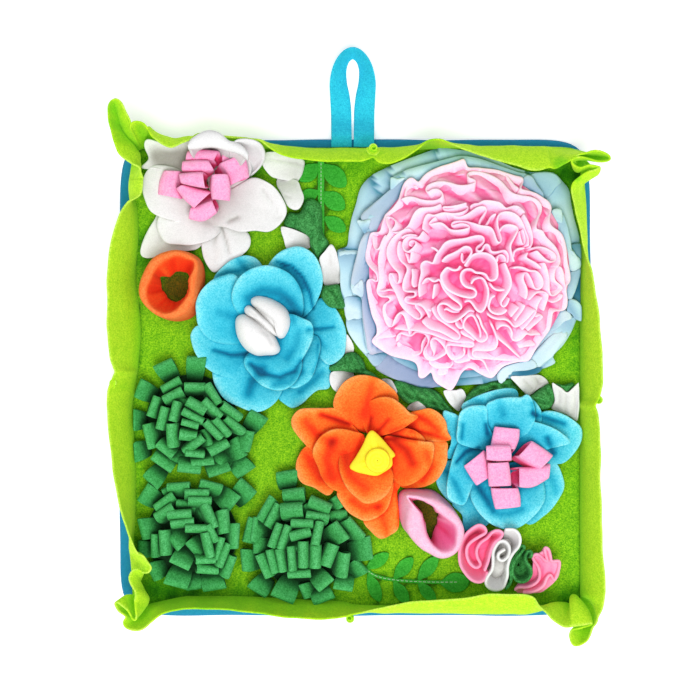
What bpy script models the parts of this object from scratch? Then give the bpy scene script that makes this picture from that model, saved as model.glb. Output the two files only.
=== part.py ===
"""A snuffle mat: a padded fleece tray with felt flowers, ruffles and pompoms, for hiding treats.

Every table is in millimetres and degrees. The mat lies on the ground plane, with its back edge
and hanging loop toward +Y. Meshes are scaled to metres as they are made.
"""

import math

import bmesh
import bpy
from mathutils import Vector

MM = 0.001
PARTS_NAME = "snuffle_mat"
CUTTERS_NAME = "snuffle_mat_helpers"

# The base: a pad, a panel sewn on it, and the level at which everything else is sewn.
PAD_WIDTH = 450.0
PAD_DEPTH = 455.0
PAD_THICKNESS = 8.0
PAD_CORNER = 14.0
PAD_SOFT_EDGE = 3.4
SEAM_GAP = 0.3
PANEL_THICKNESS = 2.0
PANEL_CORNER = 12.0
PANEL_MARGIN = 2.0
FLOOR = PAD_THICKNESS + SEAM_GAP + PANEL_THICKNESS
SEWN = FLOOR + SEAM_GAP

# The fence strip round the edge.
FOOT_LEFT = -210.0
FOOT_RIGHT = 214.0
FOOT_FRONT = -216.0
FOOT_BACK = 217.0
FOOT_CORNER = 10.0
FENCE_THICKNESS = 2.6
FENCE_FOOT_LIFT = 0.7
FENCE_LEVELS = (0.0, 0.4, 1.0)
FENCE_BOW = 2.0
FENCE_STEPS = 2

# Petal layers and discs.
FELT = 2.0
THIN_FELT = 1.5
BUTTON = 14.0
PETAL_STATIONS = 4
PETAL_RINGS = (0.5, 1.0)

GREEN_FLEECE = (0.36, 0.70, 0.02)
BLUE_PAD = (0.02, 0.30, 0.48)
BLUE_RIBBON = (0.04, 0.64, 0.83)
TWIG_GREEN = (0.06, 0.40, 0.04)
VINE_GREEN = (0.07, 0.34, 0.09)
POMPOM_GREEN = (0.07, 0.42, 0.10)
WHITE = (0.93, 0.94, 0.94)
SKY_BLUE = (0.06, 0.56, 0.80)
PALE_BLUE = (0.42, 0.68, 0.78)
PINK = (0.92, 0.46, 0.62)
ROSE = (0.90, 0.36, 0.58)
ORANGE = (0.98, 0.15, 0.03)
YELLOW = (1.00, 0.83, 0.03)

# Fence rows, side by side round the mat, counter-clockwise from the front left.
# along: from the start of the side; lean: how far the rim stands outside the foot; rise: of rim.
FRONT_ROWS = (
    # along, lean, rise
    (24.0, -8.0, 40.0),
    (57.0, -2.5, 41.0),
    (94.0, -1.0, 42.0),
    (127.0, 3.5, 41.0),
    (160.0, 6.0, 42.0),
    (190.0, 5.5, 40.0),
    (205.0, 0.0, 36.0),
    (220.0, -0.5, 39.0),
    (242.0, -7.0, 41.0),
    (279.0, -12.0, 40.0),
    (332.0, -18.0, 41.0),
    (370.0, -16.0, 42.0),
)
RIGHT_ROWS = (
    (24.0, 16.0, 42.0),
    (67.0, 13.0, 40.0),
    (122.0, 12.0, 41.0),
    (150.0, 13.0, 41.0),
    (184.0, 10.0, 40.0),
    (196.0, 7.0, 36.0),
    (210.0, 14.0, 40.0),
    (233.0, 13.0, 42.0),
    (270.0, 10.5, 41.0),
    (316.0, 4.0, 40.0),
    (335.0, -3.0, 41.0),
    (353.0, -9.0, 42.0),
    (382.0, -14.5, 42.0),
)
BACK_ROWS = (
    (29.0, -20.0, 42.0),
    (43.0, -27.0, 43.0),
    (66.0, -22.0, 42.0),
    (99.0, -12.0, 41.0),
    (126.0, -1.5, 42.0),
    (145.0, 3.5, 42.0),
    (159.0, -6.5, 41.0),
    (180.0, -13.0, 41.0),
    (197.0, -10.0, 36.0),
    (210.0, -15.0, 40.0),
    (237.0, -15.0, 41.0),
    (274.0, -10.5, 41.0),
    (300.0, -4.0, 41.0),
    (330.0, 0.5, 42.0),
    (360.0, 7.0, 42.0),
    (380.0, -2.5, 41.0),
)
LEFT_ROWS = (
    (27.0, -13.0, 43.0),
    (46.0, -13.5, 42.0),
    (60.0, 3.0, 41.0),
    (89.0, 14.0, 41.0),
    (117.0, 18.0, 40.0),
    (181.0, 18.0, 41.0),
    (205.0, 15.0, 40.0),
    (221.0, 10.0, 36.0),
    (234.0, 14.5, 40.0),
    (255.0, 16.0, 41.0),
    (283.0, 14.5, 41.0),
    (311.0, 11.0, 41.0),
    (334.0, 7.0, 42.0),
    (357.0, 1.0, 42.0),
    (371.0, -7.0, 42.0),
    (386.0, -19.0, 41.0),
)
PINCH_RISE = 36.0

# Ears: where the rim goes at each corner, in plan, and how high it stands.
FRONT_RIGHT_EAR = (
    # x, y, rise
    (179.0, -217.0, 43.0),
    (194.0, -229.0, 45.0),
    (199.5, -245.0, 45.0),
    (209.0, -243.0, 45.0),
    (221.0, -226.5, 45.0),
    (229.0, -208.0, 44.0),
)
BACK_RIGHT_EAR = (
    (199.5, 177.0, 43.0),
    (211.5, 181.0, 44.0),
    (224.0, 190.0, 45.0),
    (232.0, 198.0, 46.0),
    (231.0, 207.0, 46.0),
    (219.0, 210.0, 45.0),
    (203.0, 206.0, 44.0),
)
BACK_LEFT_EAR = (
    (-187.0, 226.0, 44.0),
    (-194.0, 234.5, 46.0),
    (-203.0, 234.5, 46.0),
    (-209.5, 239.0, 49.0),
    (-215.0, 256.0, 51.0),
    (-224.0, 254.0, 51.0),
    (-225.5, 238.0, 49.0),
    (-222.0, 220.0, 47.0),
    (-208.0, 203.0, 45.0),
)
FRONT_LEFT_EAR = (
    (-203.0, -181.0, 43.0),
    (-208.0, -193.0, 44.0),
    (-221.5, -207.0, 45.0),
    (-213.0, -220.0, 46.0),
    (-202.0, -232.0, 46.0),
    (-188.0, -222.5, 45.0),
    (-178.0, -211.0, 43.0),
)

# The hanging loop: half of its route, mirrored about its own middle line.
LOOP_MIDDLE = -2.2
LOOP_WIDTH = 19.5
LOOP_THICKNESS = 1.2
LOOP_HALF_ROUTE = (
    # from_middle, y, height, tilt
    (10.9, 220.6, 9.3, 0.0),
    (10.9, 226.0, 9.5, 0.0),
    (10.9, 231.5, 9.3, 0.0),
    (10.9, 237.5, 6.6, 0.0),
    (10.9, 246.0, 2.6, 0.0),
    (11.2, 256.0, 1.2, 4.0),
    (12.2, 268.0, 1.0, 18.0),
    (13.8, 281.0, 1.0, 33.0),
    (12.6, 294.0, 1.0, 50.0),
    (7.6, 304.0, 1.0, 61.0),
)
LOOP_TOP = (0.0, 308.2, 1.0, 64.0)

# Tucks: where the strip is pinched, a little roll of it stands outside the rim.
TUCK_TOP_RADIUS = 4.2
TUCK_FOOT_RADIUS = 1.2
TUCK_DEPTH = 15.0
TUCK_SIDES = 10

# Petal layers: angle and reach of each petal, and the bunch of sizes that a layer has.
PETAL_LAYERS = {
    "white_flower_outer": {
        "centre": (-139.0, 171.0),
        "seat": 0,
        "rise": 5.0,
        "bulge": 3.0,
        "colour": WHITE,
        "petals": (
            # angle, reach
            (-85.0, 66.0),
            (-40.0, 60.0),
            (-8.0, 66.0),
            (36.0, 62.0),
            (87.0, 39.0),
            (137.0, 56.0),
            (180.0, 55.0),
            (223.0, 72.0),
        ),
    },
    "white_flower_inner": {
        "centre": (-139.0, 171.0),
        "seat": 1,
        "rise": 24.0,
        "bulge": 5.0,
        "colour": WHITE,
        "petals": (
            (-60.0, 46.0),
            (10.0, 50.0),
            (70.0, 38.0),
            (150.0, 44.0),
            (215.0, 48.0),
        ),
    },
    "blue_flower_a_outer": {
        "centre": (-82.0, 43.0),
        "seat": 0,
        "rise": 5.0,
        "bulge": 3.0,
        "colour": SKY_BLUE,
        "petals": (
            (-97.0, 74.0),
            (-42.0, 66.0),
            (5.0, 70.0),
            (47.0, 58.0),
            (75.0, 80.0),
            (115.0, 70.0),
            (160.0, 60.0),
            (192.0, 66.0),
            (225.0, 58.0),
        ),
    },
    "blue_flower_a_inner": {
        "centre": (-82.0, 43.0),
        "seat": 1,
        "rise": 24.0,
        "bulge": 5.0,
        "colour": SKY_BLUE,
        "petals": (
            (-70.0, 56.0),
            (-15.0, 56.0),
            (40.0, 50.0),
            (92.0, 54.0),
            (160.0, 54.0),
            (225.0, 52.0),
        ),
    },
    "orange_flower_outer": {
        "centre": (16.0, -63.0),
        "seat": 0,
        "rise": 5.0,
        "bulge": 3.0,
        "colour": ORANGE,
        "petals": (
            (-82.0, 74.0),
            (-35.0, 52.0),
            (2.0, 62.0),
            (28.0, 58.0),
            (68.0, 52.0),
            (108.0, 54.0),
            (152.0, 66.0),
            (196.0, 66.0),
            (232.0, 58.0),
        ),
    },
    "orange_flower_inner": {
        "centre": (16.0, -63.0),
        "seat": 1,
        "rise": 24.0,
        "bulge": 5.0,
        "colour": ORANGE,
        "petals": (
            (-70.0, 50.0),
            (-8.0, 50.0),
            (50.0, 46.0),
            (100.0, 46.0),
            (165.0, 48.0),
            (230.0, 46.0),
        ),
    },
    "blue_flower_b_outer": {
        "centre": (147.0, -77.0),
        "seat": 0,
        "rise": 5.0,
        "bulge": 3.0,
        "colour": SKY_BLUE,
        "petals": (
            (-88.0, 58.0),
            (-35.0, 62.0),
            (20.0, 64.0),
            (94.0, 60.0),
            (138.0, 60.0),
            (178.0, 62.0),
            (222.0, 58.0),
        ),
    },
    "blue_flower_b_inner": {
        "centre": (147.0, -77.0),
        "seat": 1,
        "rise": 24.0,
        "bulge": 5.0,
        "colour": SKY_BLUE,
        "petals": (
            (-65.0, 48.0),
            (-5.0, 50.0),
            (60.0, 46.0),
            (120.0, 46.0),
            (190.0, 46.0),
            (240.0, 44.0),
        ),
    },
}
PETAL_REACH_UNIT = 60.0
NOTCH_SHARE = 0.74

# Bunches of fleece loops, each on its own domed backing. A ring is a circle of loops.
POMPOM_RINGS = (
    # count, root, lean, length, width, turn
    (10, 36.0, 30.0, 19.0, 18.5, 0.0),
    (7, 24.0, 50.0, 23.0, 17.0, 20.0),
    (5, 12.0, 67.0, 24.0, 12.5, 8.0),
    (1, 0.0, 90.0, 25.0, 13.0, 0.0),
)
POMPOM_DOME = (46.0, 8.0)
POMPOMS = (
    # name, x, y, turn, bare_middle
    ("pompom_back", -153.0, -37.5, 32.0, 49.0),
    ("pompom_front_left", -152.5, -148.0, 18.0, None),
    ("pompom_front_right", -45.5, -157.5, 18.0, 56.0),
)
POMPOM_BARE_HALF = 20.0
STAMEN_RINGS = (
    (5, 9.0, 52.0, 18.0, 10.5, 10.0),
    (1, 0.0, 90.0, 20.0, 8.0, 0.0),
)
STAMEN_DOME = (13.0, 5.0)
STAMENS = (
    ("white_flower_loops", -139.0, 171.0, 30.0),
    ("blue_flower_b_loops", 147.0, -77.0, 65.0),
)
LOOP_FELT = 1.8
LOOP_OPENING = 5.5
LOOP_ROOT_SHARE = 0.6
ROOT_DEPTH = 1.4

# Peony: two pleated discs, then rings of ruffle from the outside in.
PEONY_CENTRE = (103.0, 106.0)
PEONY_DISC_RISE = 3.0
PEONY_PLEAT = 2.6
PEONY_DISCS = (
    # name, radius, toward_front_left, seat, pleats
    ("peony_disc_lower", 108.0, 6.0, 0, 16),
    ("peony_disc_upper", 101.0, 3.0, 1, 14),
)
PEONY_RUFFLES = (
    # foot radius, rim radius, rim height, amplitude, waves
    (74.0, 97.0, 29.0, 3.6, 20),
    (64.0, 86.0, 38.0, 4.4, 17),
    (54.0, 72.0, 45.0, 5.0, 14),
    (43.0, 57.0, 51.0, 5.6, 11),
    (32.0, 42.0, 55.0, 5.6, 8),
    (21.0, 27.0, 58.0, 5.4, 5),
    (9.0, 11.0, 60.0, 3.6, 3),
)
RUFFLE_STATIONS = 4
RUFFLE_FOOT_LIFT = 0.7

SMALL_RUFFLES = (
    # name, x, y, half width, half depth, height, waves, colour
    ("small_ruffle_pink", 116.5, -165.0, 11.0, 22.0, 24.0, 7, PINK),
    ("small_ruffle_white", 138.5, -170.0, 6.0, 23.0, 26.0, 6, WHITE),
    ("small_ruffle_green", 154.5, -176.0, 5.0, 18.0, 25.0, 5, VINE_GREEN),
    ("small_ruffle_rose", 176.0, -178.0, 11.0, 19.0, 23.0, 6, ROSE),
)
SMALL_RUFFLE_WAVE = 1.6
SMALL_RUFFLE_FOOT = 0.7

# Cups: rolled tubes of fleece with a rim turned outward.
CUP_PROFILE = (
    # share of radius, share of height
    (0.72, 0.0),
    (0.70, 0.45),
    (0.74, 0.85),
    (0.86, 1.0),
    (1.0, 0.94),
    (1.04, 0.74),
)
CUP_STATIONS = 16
CUPS = (
    # name, x, y, half length, half width, heading, height, shift, colour
    ("orange_cup", -172.0, 86.0, 30.0, 29.0, 15.0, 30.0, 1.0, ORANGE),
    ("pink_cup", 72.0, -137.0, 33.0, 24.0, -50.0, 30.0, 4.0, PINK),
)

# Vines of twisted fleece, and their leaf tips.
VINE_RADIUS = 6.0
VINE_STRANDS = 0.22
VINE_TURN = 34.0
VINE_STEP = 6.0
VINES = {
    "vine_a": ((-58.0, 160.0), (-51.0, 148.0), (-43.0, 136.0), (-41.5, 125.0)),
    "vine_b": ((-20.0, 84.0), (-17.0, 66.0)),
    "vine_c": ((-19.0, 15.0), (-6.0, 12.5), (10.0, 8.0), (24.0, 5.0)),
    "vine_d": ((42.0, 1.0), (53.0, -7.0), (65.0, -17.0), (77.0, -24.0)),
    "vine_e": ((168.0, -18.0), (177.0, -21.0), (186.0, -26.0)),
}
LEAVES = (
    # name, x, y, heading, length, width
    ("leaf_a", -66.0, 200.0, 15.0, 30.0, 19.0),
    ("leaf_b", -59.0, 178.5, -25.0, 24.0, 13.0),
    ("leaf_c", -62.5, 133.0, 150.0, 22.0, 15.0),
    ("leaf_d", -22.0, 107.0, 80.0, 30.0, 15.0),
    ("leaf_e", -1.0, 27.5, 70.0, 13.0, 8.0),
    ("leaf_f", -12.0, -3.0, 160.0, 18.0, 13.0),
    ("leaf_g", 33.5, -4.0, 20.0, 10.0, 8.0),
    ("leaf_h", 94.0, -20.5, 10.0, 19.0, 15.0),
    ("leaf_i", 165.0, -3.0, 8.0, 32.0, 13.0),
    ("leaf_j", 199.0, -22.0, 60.0, 27.0, 17.0),
)
LEAF_ARCH = 5.0
LEAF_CUP = 2.0

# Twigs: flat patches. A leaf grows from the stem at a place along it.
TWIG_THICKNESS = 1.5
STEM_WIDTH = 3.2
TWIG_LEAF_SLANT = 62.0
TWIGS = {
    "twig_back": {
        "start": (-32.5, 137.0),
        "heading": 90.0,
        "length": 70.0,
        "leaves": (
            # along, side, length, width
            (9.0, -1, 20.0, 13.0),
            (31.0, -1, 19.0, 13.0),
            (36.0, 1, 12.0, 11.0),
            (53.0, -1, 20.0, 15.0),
            (57.0, 1, 16.0, 14.0),
        ),
    },
    "twig_front": {
        "start": (11.0, -184.5),
        "heading": -4.5,
        "length": 88.0,
        "leaves": (
            (9.0, 1, 16.0, 15.0),
            (9.0, -1, 23.0, 15.0),
            (33.0, 1, 20.0, 15.0),
            (33.0, -1, 20.0, 14.0),
            (56.0, 1, 18.0, 15.0),
            (56.0, -1, 18.0, 15.0),
        ),
    },
}
LEAF_OUTLINE = (
    # share of length, share of half width
    (0.12, 0.35),
    (0.35, 0.92),
    (0.62, 1.0),
    (0.88, 0.6),
    (1.0, 0.0),
)


def clear_scene():
    """Remove every object of the open scene."""
    for item in list(bpy.data.objects):
        bpy.data.objects.remove(item, do_unlink=True)


def new_collection(name):
    """Make an empty collection in the scene."""
    collection = bpy.data.collections.new(name)
    bpy.context.scene.collection.children.link(collection)
    return collection


def new_material(name, colour):
    """Make a matt cloth material."""
    material = bpy.data.materials.new(name)
    material.use_nodes = True
    shader = material.node_tree.nodes["Principled BSDF"]
    shader.inputs["Base Color"].default_value = (*colour, 1.0)
    shader.inputs["Roughness"].default_value = 0.9
    shader.inputs["Metallic"].default_value = 0.0
    material.diffuse_color = (*colour, 1.0)
    return material


def mesh_object(name, shape, collection, colour):
    """Turn a bmesh in millimetres into an object in metres."""
    bmesh.ops.scale(shape, vec=(MM, MM, MM), verts=shape.verts)
    mesh = bpy.data.meshes.new(name)
    shape.to_mesh(mesh)
    shape.free()
    item = bpy.data.objects.new(name, mesh)
    collection.objects.link(item)
    mesh.materials.append(new_material(name, colour))
    mesh.shade_smooth()
    return item


def hide_helper(item):
    """Mark an object as a helper that the parts are made with."""
    item.hide_render = True
    item.display_type = "WIRE"


def thicken(item, thickness):
    """Give an open sheet its thickness, half to each side."""
    solid = item.modifiers.new("thickness", "SOLIDIFY")
    solid.thickness = thickness * MM
    solid.offset = 0.0


def add_grid(shape, rows, closed=False, filled=False):
    """Add a sheet of quads through rows of points to a bmesh."""
    layers = [[shape.verts.new(point) for point in row] for row in rows]
    count = len(layers[0])
    last = count if closed else count - 1
    for lower, upper in zip(layers, layers[1:]):
        for index in range(last):
            after = (index + 1) % count
            shape.faces.new((lower[index], upper[index], upper[after], lower[after]))
    if filled:
        shape.faces.new(layers[0])


def sheet(name, rows, thickness, collection, colour, closed=False, filled=False):
    """Make a sheet of cloth from rows of points."""
    shape = bmesh.new()
    add_grid(shape, rows, closed, filled)
    item = mesh_object(name, shape, collection, colour)
    thicken(item, thickness)
    return item


def curve_through(before, start, end, after, share):
    """Point of a Catmull-Rom curve between start and end, for rows of any length."""
    square = share * share
    cube = square * share
    weights = (
        -0.5 * cube + square - 0.5 * share,
        1.5 * cube - 2.5 * square + 1.0,
        -1.5 * cube + 2.0 * square + 0.5 * share,
        0.5 * cube - 0.5 * square,
    )
    return tuple(
        sum(weight * value for weight, value in zip(weights, values))
        for values in zip(before, start, end, after)
    )


def smooth_route(rows, steps, closed=False):
    """Rows along a smooth curve through the given rows."""
    count = len(rows)
    spans = count if closed else count - 1
    route = []
    for index in range(spans):
        if closed:
            picked = [rows[(index + offset) % count] for offset in (-1, 0, 1, 2)]
        else:
            picked = [rows[min(max(index + offset, 0), count - 1)] for offset in (-1, 0, 1, 2)]
        for step in range(steps):
            route.append(curve_through(*picked, step / steps))
    if not closed:
        route.append(tuple(rows[-1]))
    return route


def polar(radius, angle):
    """Plan position at an angle in degrees."""
    turn = math.radians(angle)
    return Vector((radius * math.cos(turn), radius * math.sin(turn), 0.0))


def rounded_slab(name, corners, low, thickness, corner_radius, collection, colour):
    """A flat slab between two plan corners, with rounded upright corners."""
    (left, front), (right, back) = corners
    shape = bmesh.new()
    bmesh.ops.create_cube(shape, size=1.0)
    bmesh.ops.scale(shape, vec=(right - left, back - front, thickness), verts=shape.verts)
    middle = Vector(((left + right) / 2, (front + back) / 2, low + thickness / 2))
    bmesh.ops.translate(shape, vec=middle, verts=shape.verts)
    upright = [
        edge for edge in shape.edges
        if abs(edge.verts[0].co.z - edge.verts[1].co.z) > thickness / 2
    ]
    bmesh.ops.bevel(shape, geom=upright, offset=corner_radius, segments=4, profile=0.5,
                    affect="EDGES")
    return mesh_object(name, shape, collection, colour)


def build_pad(collection):
    """The padded backing, with a soft edge all round."""
    corners = ((-PAD_WIDTH / 2, -PAD_DEPTH / 2), (PAD_WIDTH / 2, PAD_DEPTH / 2))
    pad = rounded_slab("backing_pad", corners, 0.0, PAD_THICKNESS, PAD_CORNER, collection,
                       BLUE_PAD)
    soft = pad.modifiers.new("soft edge", "BEVEL")
    soft.width = PAD_SOFT_EDGE * MM
    soft.segments = 2
    soft.limit_method = "ANGLE"
    soft.angle_limit = math.radians(60.0)


def build_panel(collection):
    """The fleece panel that the flowers and the fence are sewn to."""
    corners = (
        (FOOT_LEFT - PANEL_MARGIN, FOOT_FRONT - PANEL_MARGIN),
        (FOOT_RIGHT + PANEL_MARGIN, FOOT_BACK + PANEL_MARGIN),
    )
    rounded_slab("top_panel", corners, PAD_THICKNESS + SEAM_GAP, PANEL_THICKNESS, PANEL_CORNER,
                 collection, GREEN_FLEECE)


def side_stations(rows, start, direction, outward):
    """Foot and rim of the fence at each row of one side: (fx, fy, rx, ry, rise)."""
    stations = []
    for along, lean, rise in rows:
        foot = start + direction * along
        rim = foot + outward * lean
        stations.append((foot.x, foot.y, rim.x, rim.y, rise))
    return stations


def ear_stations(rows, middle, start_angle):
    """Foot and rim of the fence round one corner, whose foot turns a quarter circle."""
    stations = []
    for index, (x, y, rise) in enumerate(rows):
        share = (index + 0.5) / len(rows)
        foot = middle + polar(FOOT_CORNER, start_angle + 90.0 * share)
        stations.append((foot.x, foot.y, x, y, rise))
    return stations


def fence_stations():
    """All stations of the fence, counter-clockwise from the front left corner."""
    left = FOOT_LEFT + FOOT_CORNER
    right = FOOT_RIGHT - FOOT_CORNER
    front = FOOT_FRONT + FOOT_CORNER
    back = FOOT_BACK - FOOT_CORNER
    x_axis = Vector((1.0, 0.0, 0.0))
    y_axis = Vector((0.0, 1.0, 0.0))
    stations = side_stations(FRONT_ROWS, Vector((FOOT_LEFT, FOOT_FRONT, 0.0)), x_axis, -y_axis)
    stations += ear_stations(FRONT_RIGHT_EAR, Vector((right, front, 0.0)), -90.0)
    stations += side_stations(RIGHT_ROWS, Vector((FOOT_RIGHT, FOOT_FRONT, 0.0)), y_axis, x_axis)
    stations += ear_stations(BACK_RIGHT_EAR, Vector((right, back, 0.0)), 0.0)
    stations += side_stations(BACK_ROWS, Vector((FOOT_RIGHT, FOOT_BACK, 0.0)), -x_axis, y_axis)
    stations += ear_stations(BACK_LEFT_EAR, Vector((left, back, 0.0)), 90.0)
    stations += side_stations(LEFT_ROWS, Vector((FOOT_LEFT, FOOT_BACK, 0.0)), -y_axis, -x_axis)
    stations += ear_stations(FRONT_LEFT_EAR, Vector((left, front, 0.0)), 180.0)
    return stations


def build_fence(collection):
    """The fence: one strip, from its sewn foot up to its wandering rim."""
    stations = smooth_route(fence_stations(), FENCE_STEPS, closed=True)
    foot_height = SEWN + FENCE_FOOT_LIFT
    rows = []
    for level in FENCE_LEVELS:
        share = level ** FENCE_BOW
        row = []
        for foot_x, foot_y, rim_x, rim_y, rise in stations:
            x = foot_x + (rim_x - foot_x) * share
            y = foot_y + (rim_y - foot_y) * share
            row.append(Vector((x, y, foot_height + rise * level)))
        rows.append(row)
    sheet("fence", rows, FENCE_THICKNESS, collection, GREEN_FLEECE, closed=True)


def pinch_of(rows):
    """The row in the middle of a side where the rim is pinched down."""
    for row in rows:
        if row[2] == PINCH_RISE:
            return row
    raise ValueError("a side needs one pinched row")


def build_tucks(collection):
    """The little roll of fleece outside each pinch, narrowing downward."""
    sides = (
        ("tuck_front", FRONT_ROWS, Vector((FOOT_LEFT, FOOT_FRONT, 0)), (1, 0), (0, -1)),
        ("tuck_right", RIGHT_ROWS, Vector((FOOT_RIGHT, FOOT_FRONT, 0)), (0, 1), (1, 0)),
        ("tuck_back", BACK_ROWS, Vector((FOOT_RIGHT, FOOT_BACK, 0)), (-1, 0), (0, 1)),
        ("tuck_left", LEFT_ROWS, Vector((FOOT_LEFT, FOOT_BACK, 0)), (0, -1), (-1, 0)),
    )
    for name, rows, start, along_axis, out_axis in sides:
        along, lean, rise = pinch_of(rows)
        knee = FENCE_LEVELS[1]
        knee_lean = knee ** FENCE_BOW
        steepness = (1.0 - knee_lean) / (1.0 - knee)
        slope = math.atan2(abs(lean) * steepness, rise)
        place = start + Vector((*along_axis, 0)) * along
        outward = Vector((*out_axis, 0))
        shape = bmesh.new()
        bmesh.ops.create_cone(shape, segments=TUCK_SIDES, radius1=TUCK_FOOT_RADIUS,
                              radius2=TUCK_TOP_RADIUS, depth=TUCK_DEPTH, cap_ends=True)
        for vertex in shape.verts:
            is_top = vertex.co.z > 0.0
            height = rise if is_top else rise - TUCK_DEPTH
            radius = TUCK_TOP_RADIUS if is_top else TUCK_FOOT_RADIUS
            clear = (FENCE_THICKNESS / 2 + SEAM_GAP + radius) / math.cos(slope)
            out = lean * (knee_lean + (height / rise - knee) * steepness) + clear
            vertex.co.z = 0.0
            vertex.co += place + outward * out
            vertex.co.z = SEWN + FENCE_FOOT_LIFT + height
        mesh_object(name, shape, collection, GREEN_FLEECE)


def build_hanging_loop(collection):
    """The ribbon loop at the back: two flat legs side by side that turn up at the bend."""
    right = [(offset, y, height, tilt) for offset, y, height, tilt in LOOP_HALF_ROUTE]
    left = [(-offset, y, height, tilt) for offset, y, height, tilt in LOOP_HALF_ROUTE]
    route = smooth_route(left + [LOOP_TOP] + right[::-1], 2)
    inner = []
    outer = []
    for index, (offset, y, height, tilt) in enumerate(route):
        before = route[max(index - 1, 0)]
        after = route[min(index + 1, len(route) - 1)]
        along = Vector((after[0] - before[0], after[1] - before[1], 0.0)).normalized()
        outward = Vector((-along.y, along.x, 0.0))
        lift = math.radians(tilt)
        half = LOOP_WIDTH / 2
        reach = outward * half * math.cos(lift)
        climb = Vector((0.0, 0.0, half * math.sin(lift)))
        centre = Vector((LOOP_MIDDLE + offset, y, height)) + climb
        outer.append(centre + reach + climb)
        inner.append(centre - reach - climb)
    sheet("hanging_loop", [inner, outer], LOOP_THICKNESS, collection, BLUE_RIBBON)


def twig_outline(length, leaves):
    """Outline of a stem with leaves, drawn along +X from the start of the stem."""
    half_stem = STEM_WIDTH / 2
    sides = {}
    for side in (-1, 1):
        points = [Vector((0.0, side * half_stem, 0.0))]
        for along, leaf_side, leaf_length, leaf_width in leaves:
            if leaf_side != side:
                continue
            axis = polar(1.0, side * TWIG_LEAF_SLANT)
            across = Vector((-axis.y, axis.x, 0.0)) * side
            root = Vector((along, side * half_stem * 0.5, 0.0))
            near = []
            far = []
            for share, half_share in LEAF_OUTLINE:
                point = root + axis * leaf_length * share
                offset = across * leaf_width / 2 * half_share
                near.append(point + offset)
                far.append(point - offset)
            points += near + far[-2::-1]
        points.append(Vector((length - half_stem, side * half_stem, 0.0)))
        sides[side] = points
    return sides[-1] + [Vector((length, 0.0, 0.0))] + sides[1][::-1]


def build_twigs(collection):
    """The two flat twig patches."""
    for name, twig in TWIGS.items():
        data = bpy.data.curves.new(name, "CURVE")
        data.dimensions = "2D"
        data.fill_mode = "BOTH"
        data.extrude = TWIG_THICKNESS / 2 * MM
        outline = twig_outline(twig["length"], twig["leaves"])
        spline = data.splines.new("POLY")
        spline.points.add(len(outline) - 1)
        for target, point in zip(spline.points, outline):
            target.co = (point.x * MM, point.y * MM, 0.0, 1.0)
        spline.use_cyclic_u = True
        item = bpy.data.objects.new(name, data)
        x, y = twig["start"]
        item.location = Vector((x, y, SEWN + TWIG_THICKNESS / 2)) * MM
        item.rotation_euler = (0.0, 0.0, math.radians(twig["heading"]))
        data.materials.append(new_material(name, TWIG_GREEN))
        collection.objects.link(item)


def petal_rim(petals):
    """Angle, radius and lobe share round a layer, with a notch between neighbouring petals."""
    count = len(petals)
    rim = []
    for index, (angle, reach) in enumerate(petals):
        before_angle, before_reach = petals[index - 1]
        after_angle, after_reach = petals[(index + 1) % count]
        if index == 0:
            before_angle -= 360.0
        if index == count - 1:
            after_angle += 360.0
        start = (angle + before_angle) / 2
        end = (angle + after_angle) / 2
        start_notch = min(reach, before_reach) * NOTCH_SHARE
        end_notch = min(reach, after_reach) * NOTCH_SHARE
        for station in range(PETAL_STATIONS):
            share = station / PETAL_STATIONS
            across = 2.0 * share - 1.0
            lobe = math.sqrt(max(0.0, 1.0 - across ** 2))
            notch = start_notch + (end_notch - start_notch) * share
            rim.append((start + (end - start) * share, notch + (reach - notch) * lobe, lobe))
    return rim


def build_petal_layers(collection):
    """Every layer of petals: one dished piece of felt each, cut into petals at its rim."""
    for name, layer in PETAL_LAYERS.items():
        centre = Vector((*layer["centre"], 0.0))
        base = SEWN + FELT / 2 + layer["seat"] * (FELT + SEAM_GAP)
        rim = petal_rim(layer["petals"])
        rows = [[centre + polar(BUTTON, angle) + Vector((0, 0, base)) for angle, _, _ in rim]]
        for ring in PETAL_RINGS:
            row = []
            for angle, reach, lobe in rim:
                radius = BUTTON + (reach - BUTTON) * ring
                share = (radius - BUTTON) / PETAL_REACH_UNIT
                height = base + (layer["rise"] + layer["bulge"] * lobe) * share ** 2
                row.append(centre + polar(radius, angle) + Vector((0, 0, height)))
            rows.append(row)
        sheet(name, rows, FELT, collection, layer["colour"], closed=True, filled=True)


def dome_height(radius, dome):
    """Height of a domed backing at a distance from its middle."""
    dome_radius, rise = dome
    share = min(radius / dome_radius, 1.0)
    return rise * math.sqrt(1.0 - share ** 2)


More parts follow.
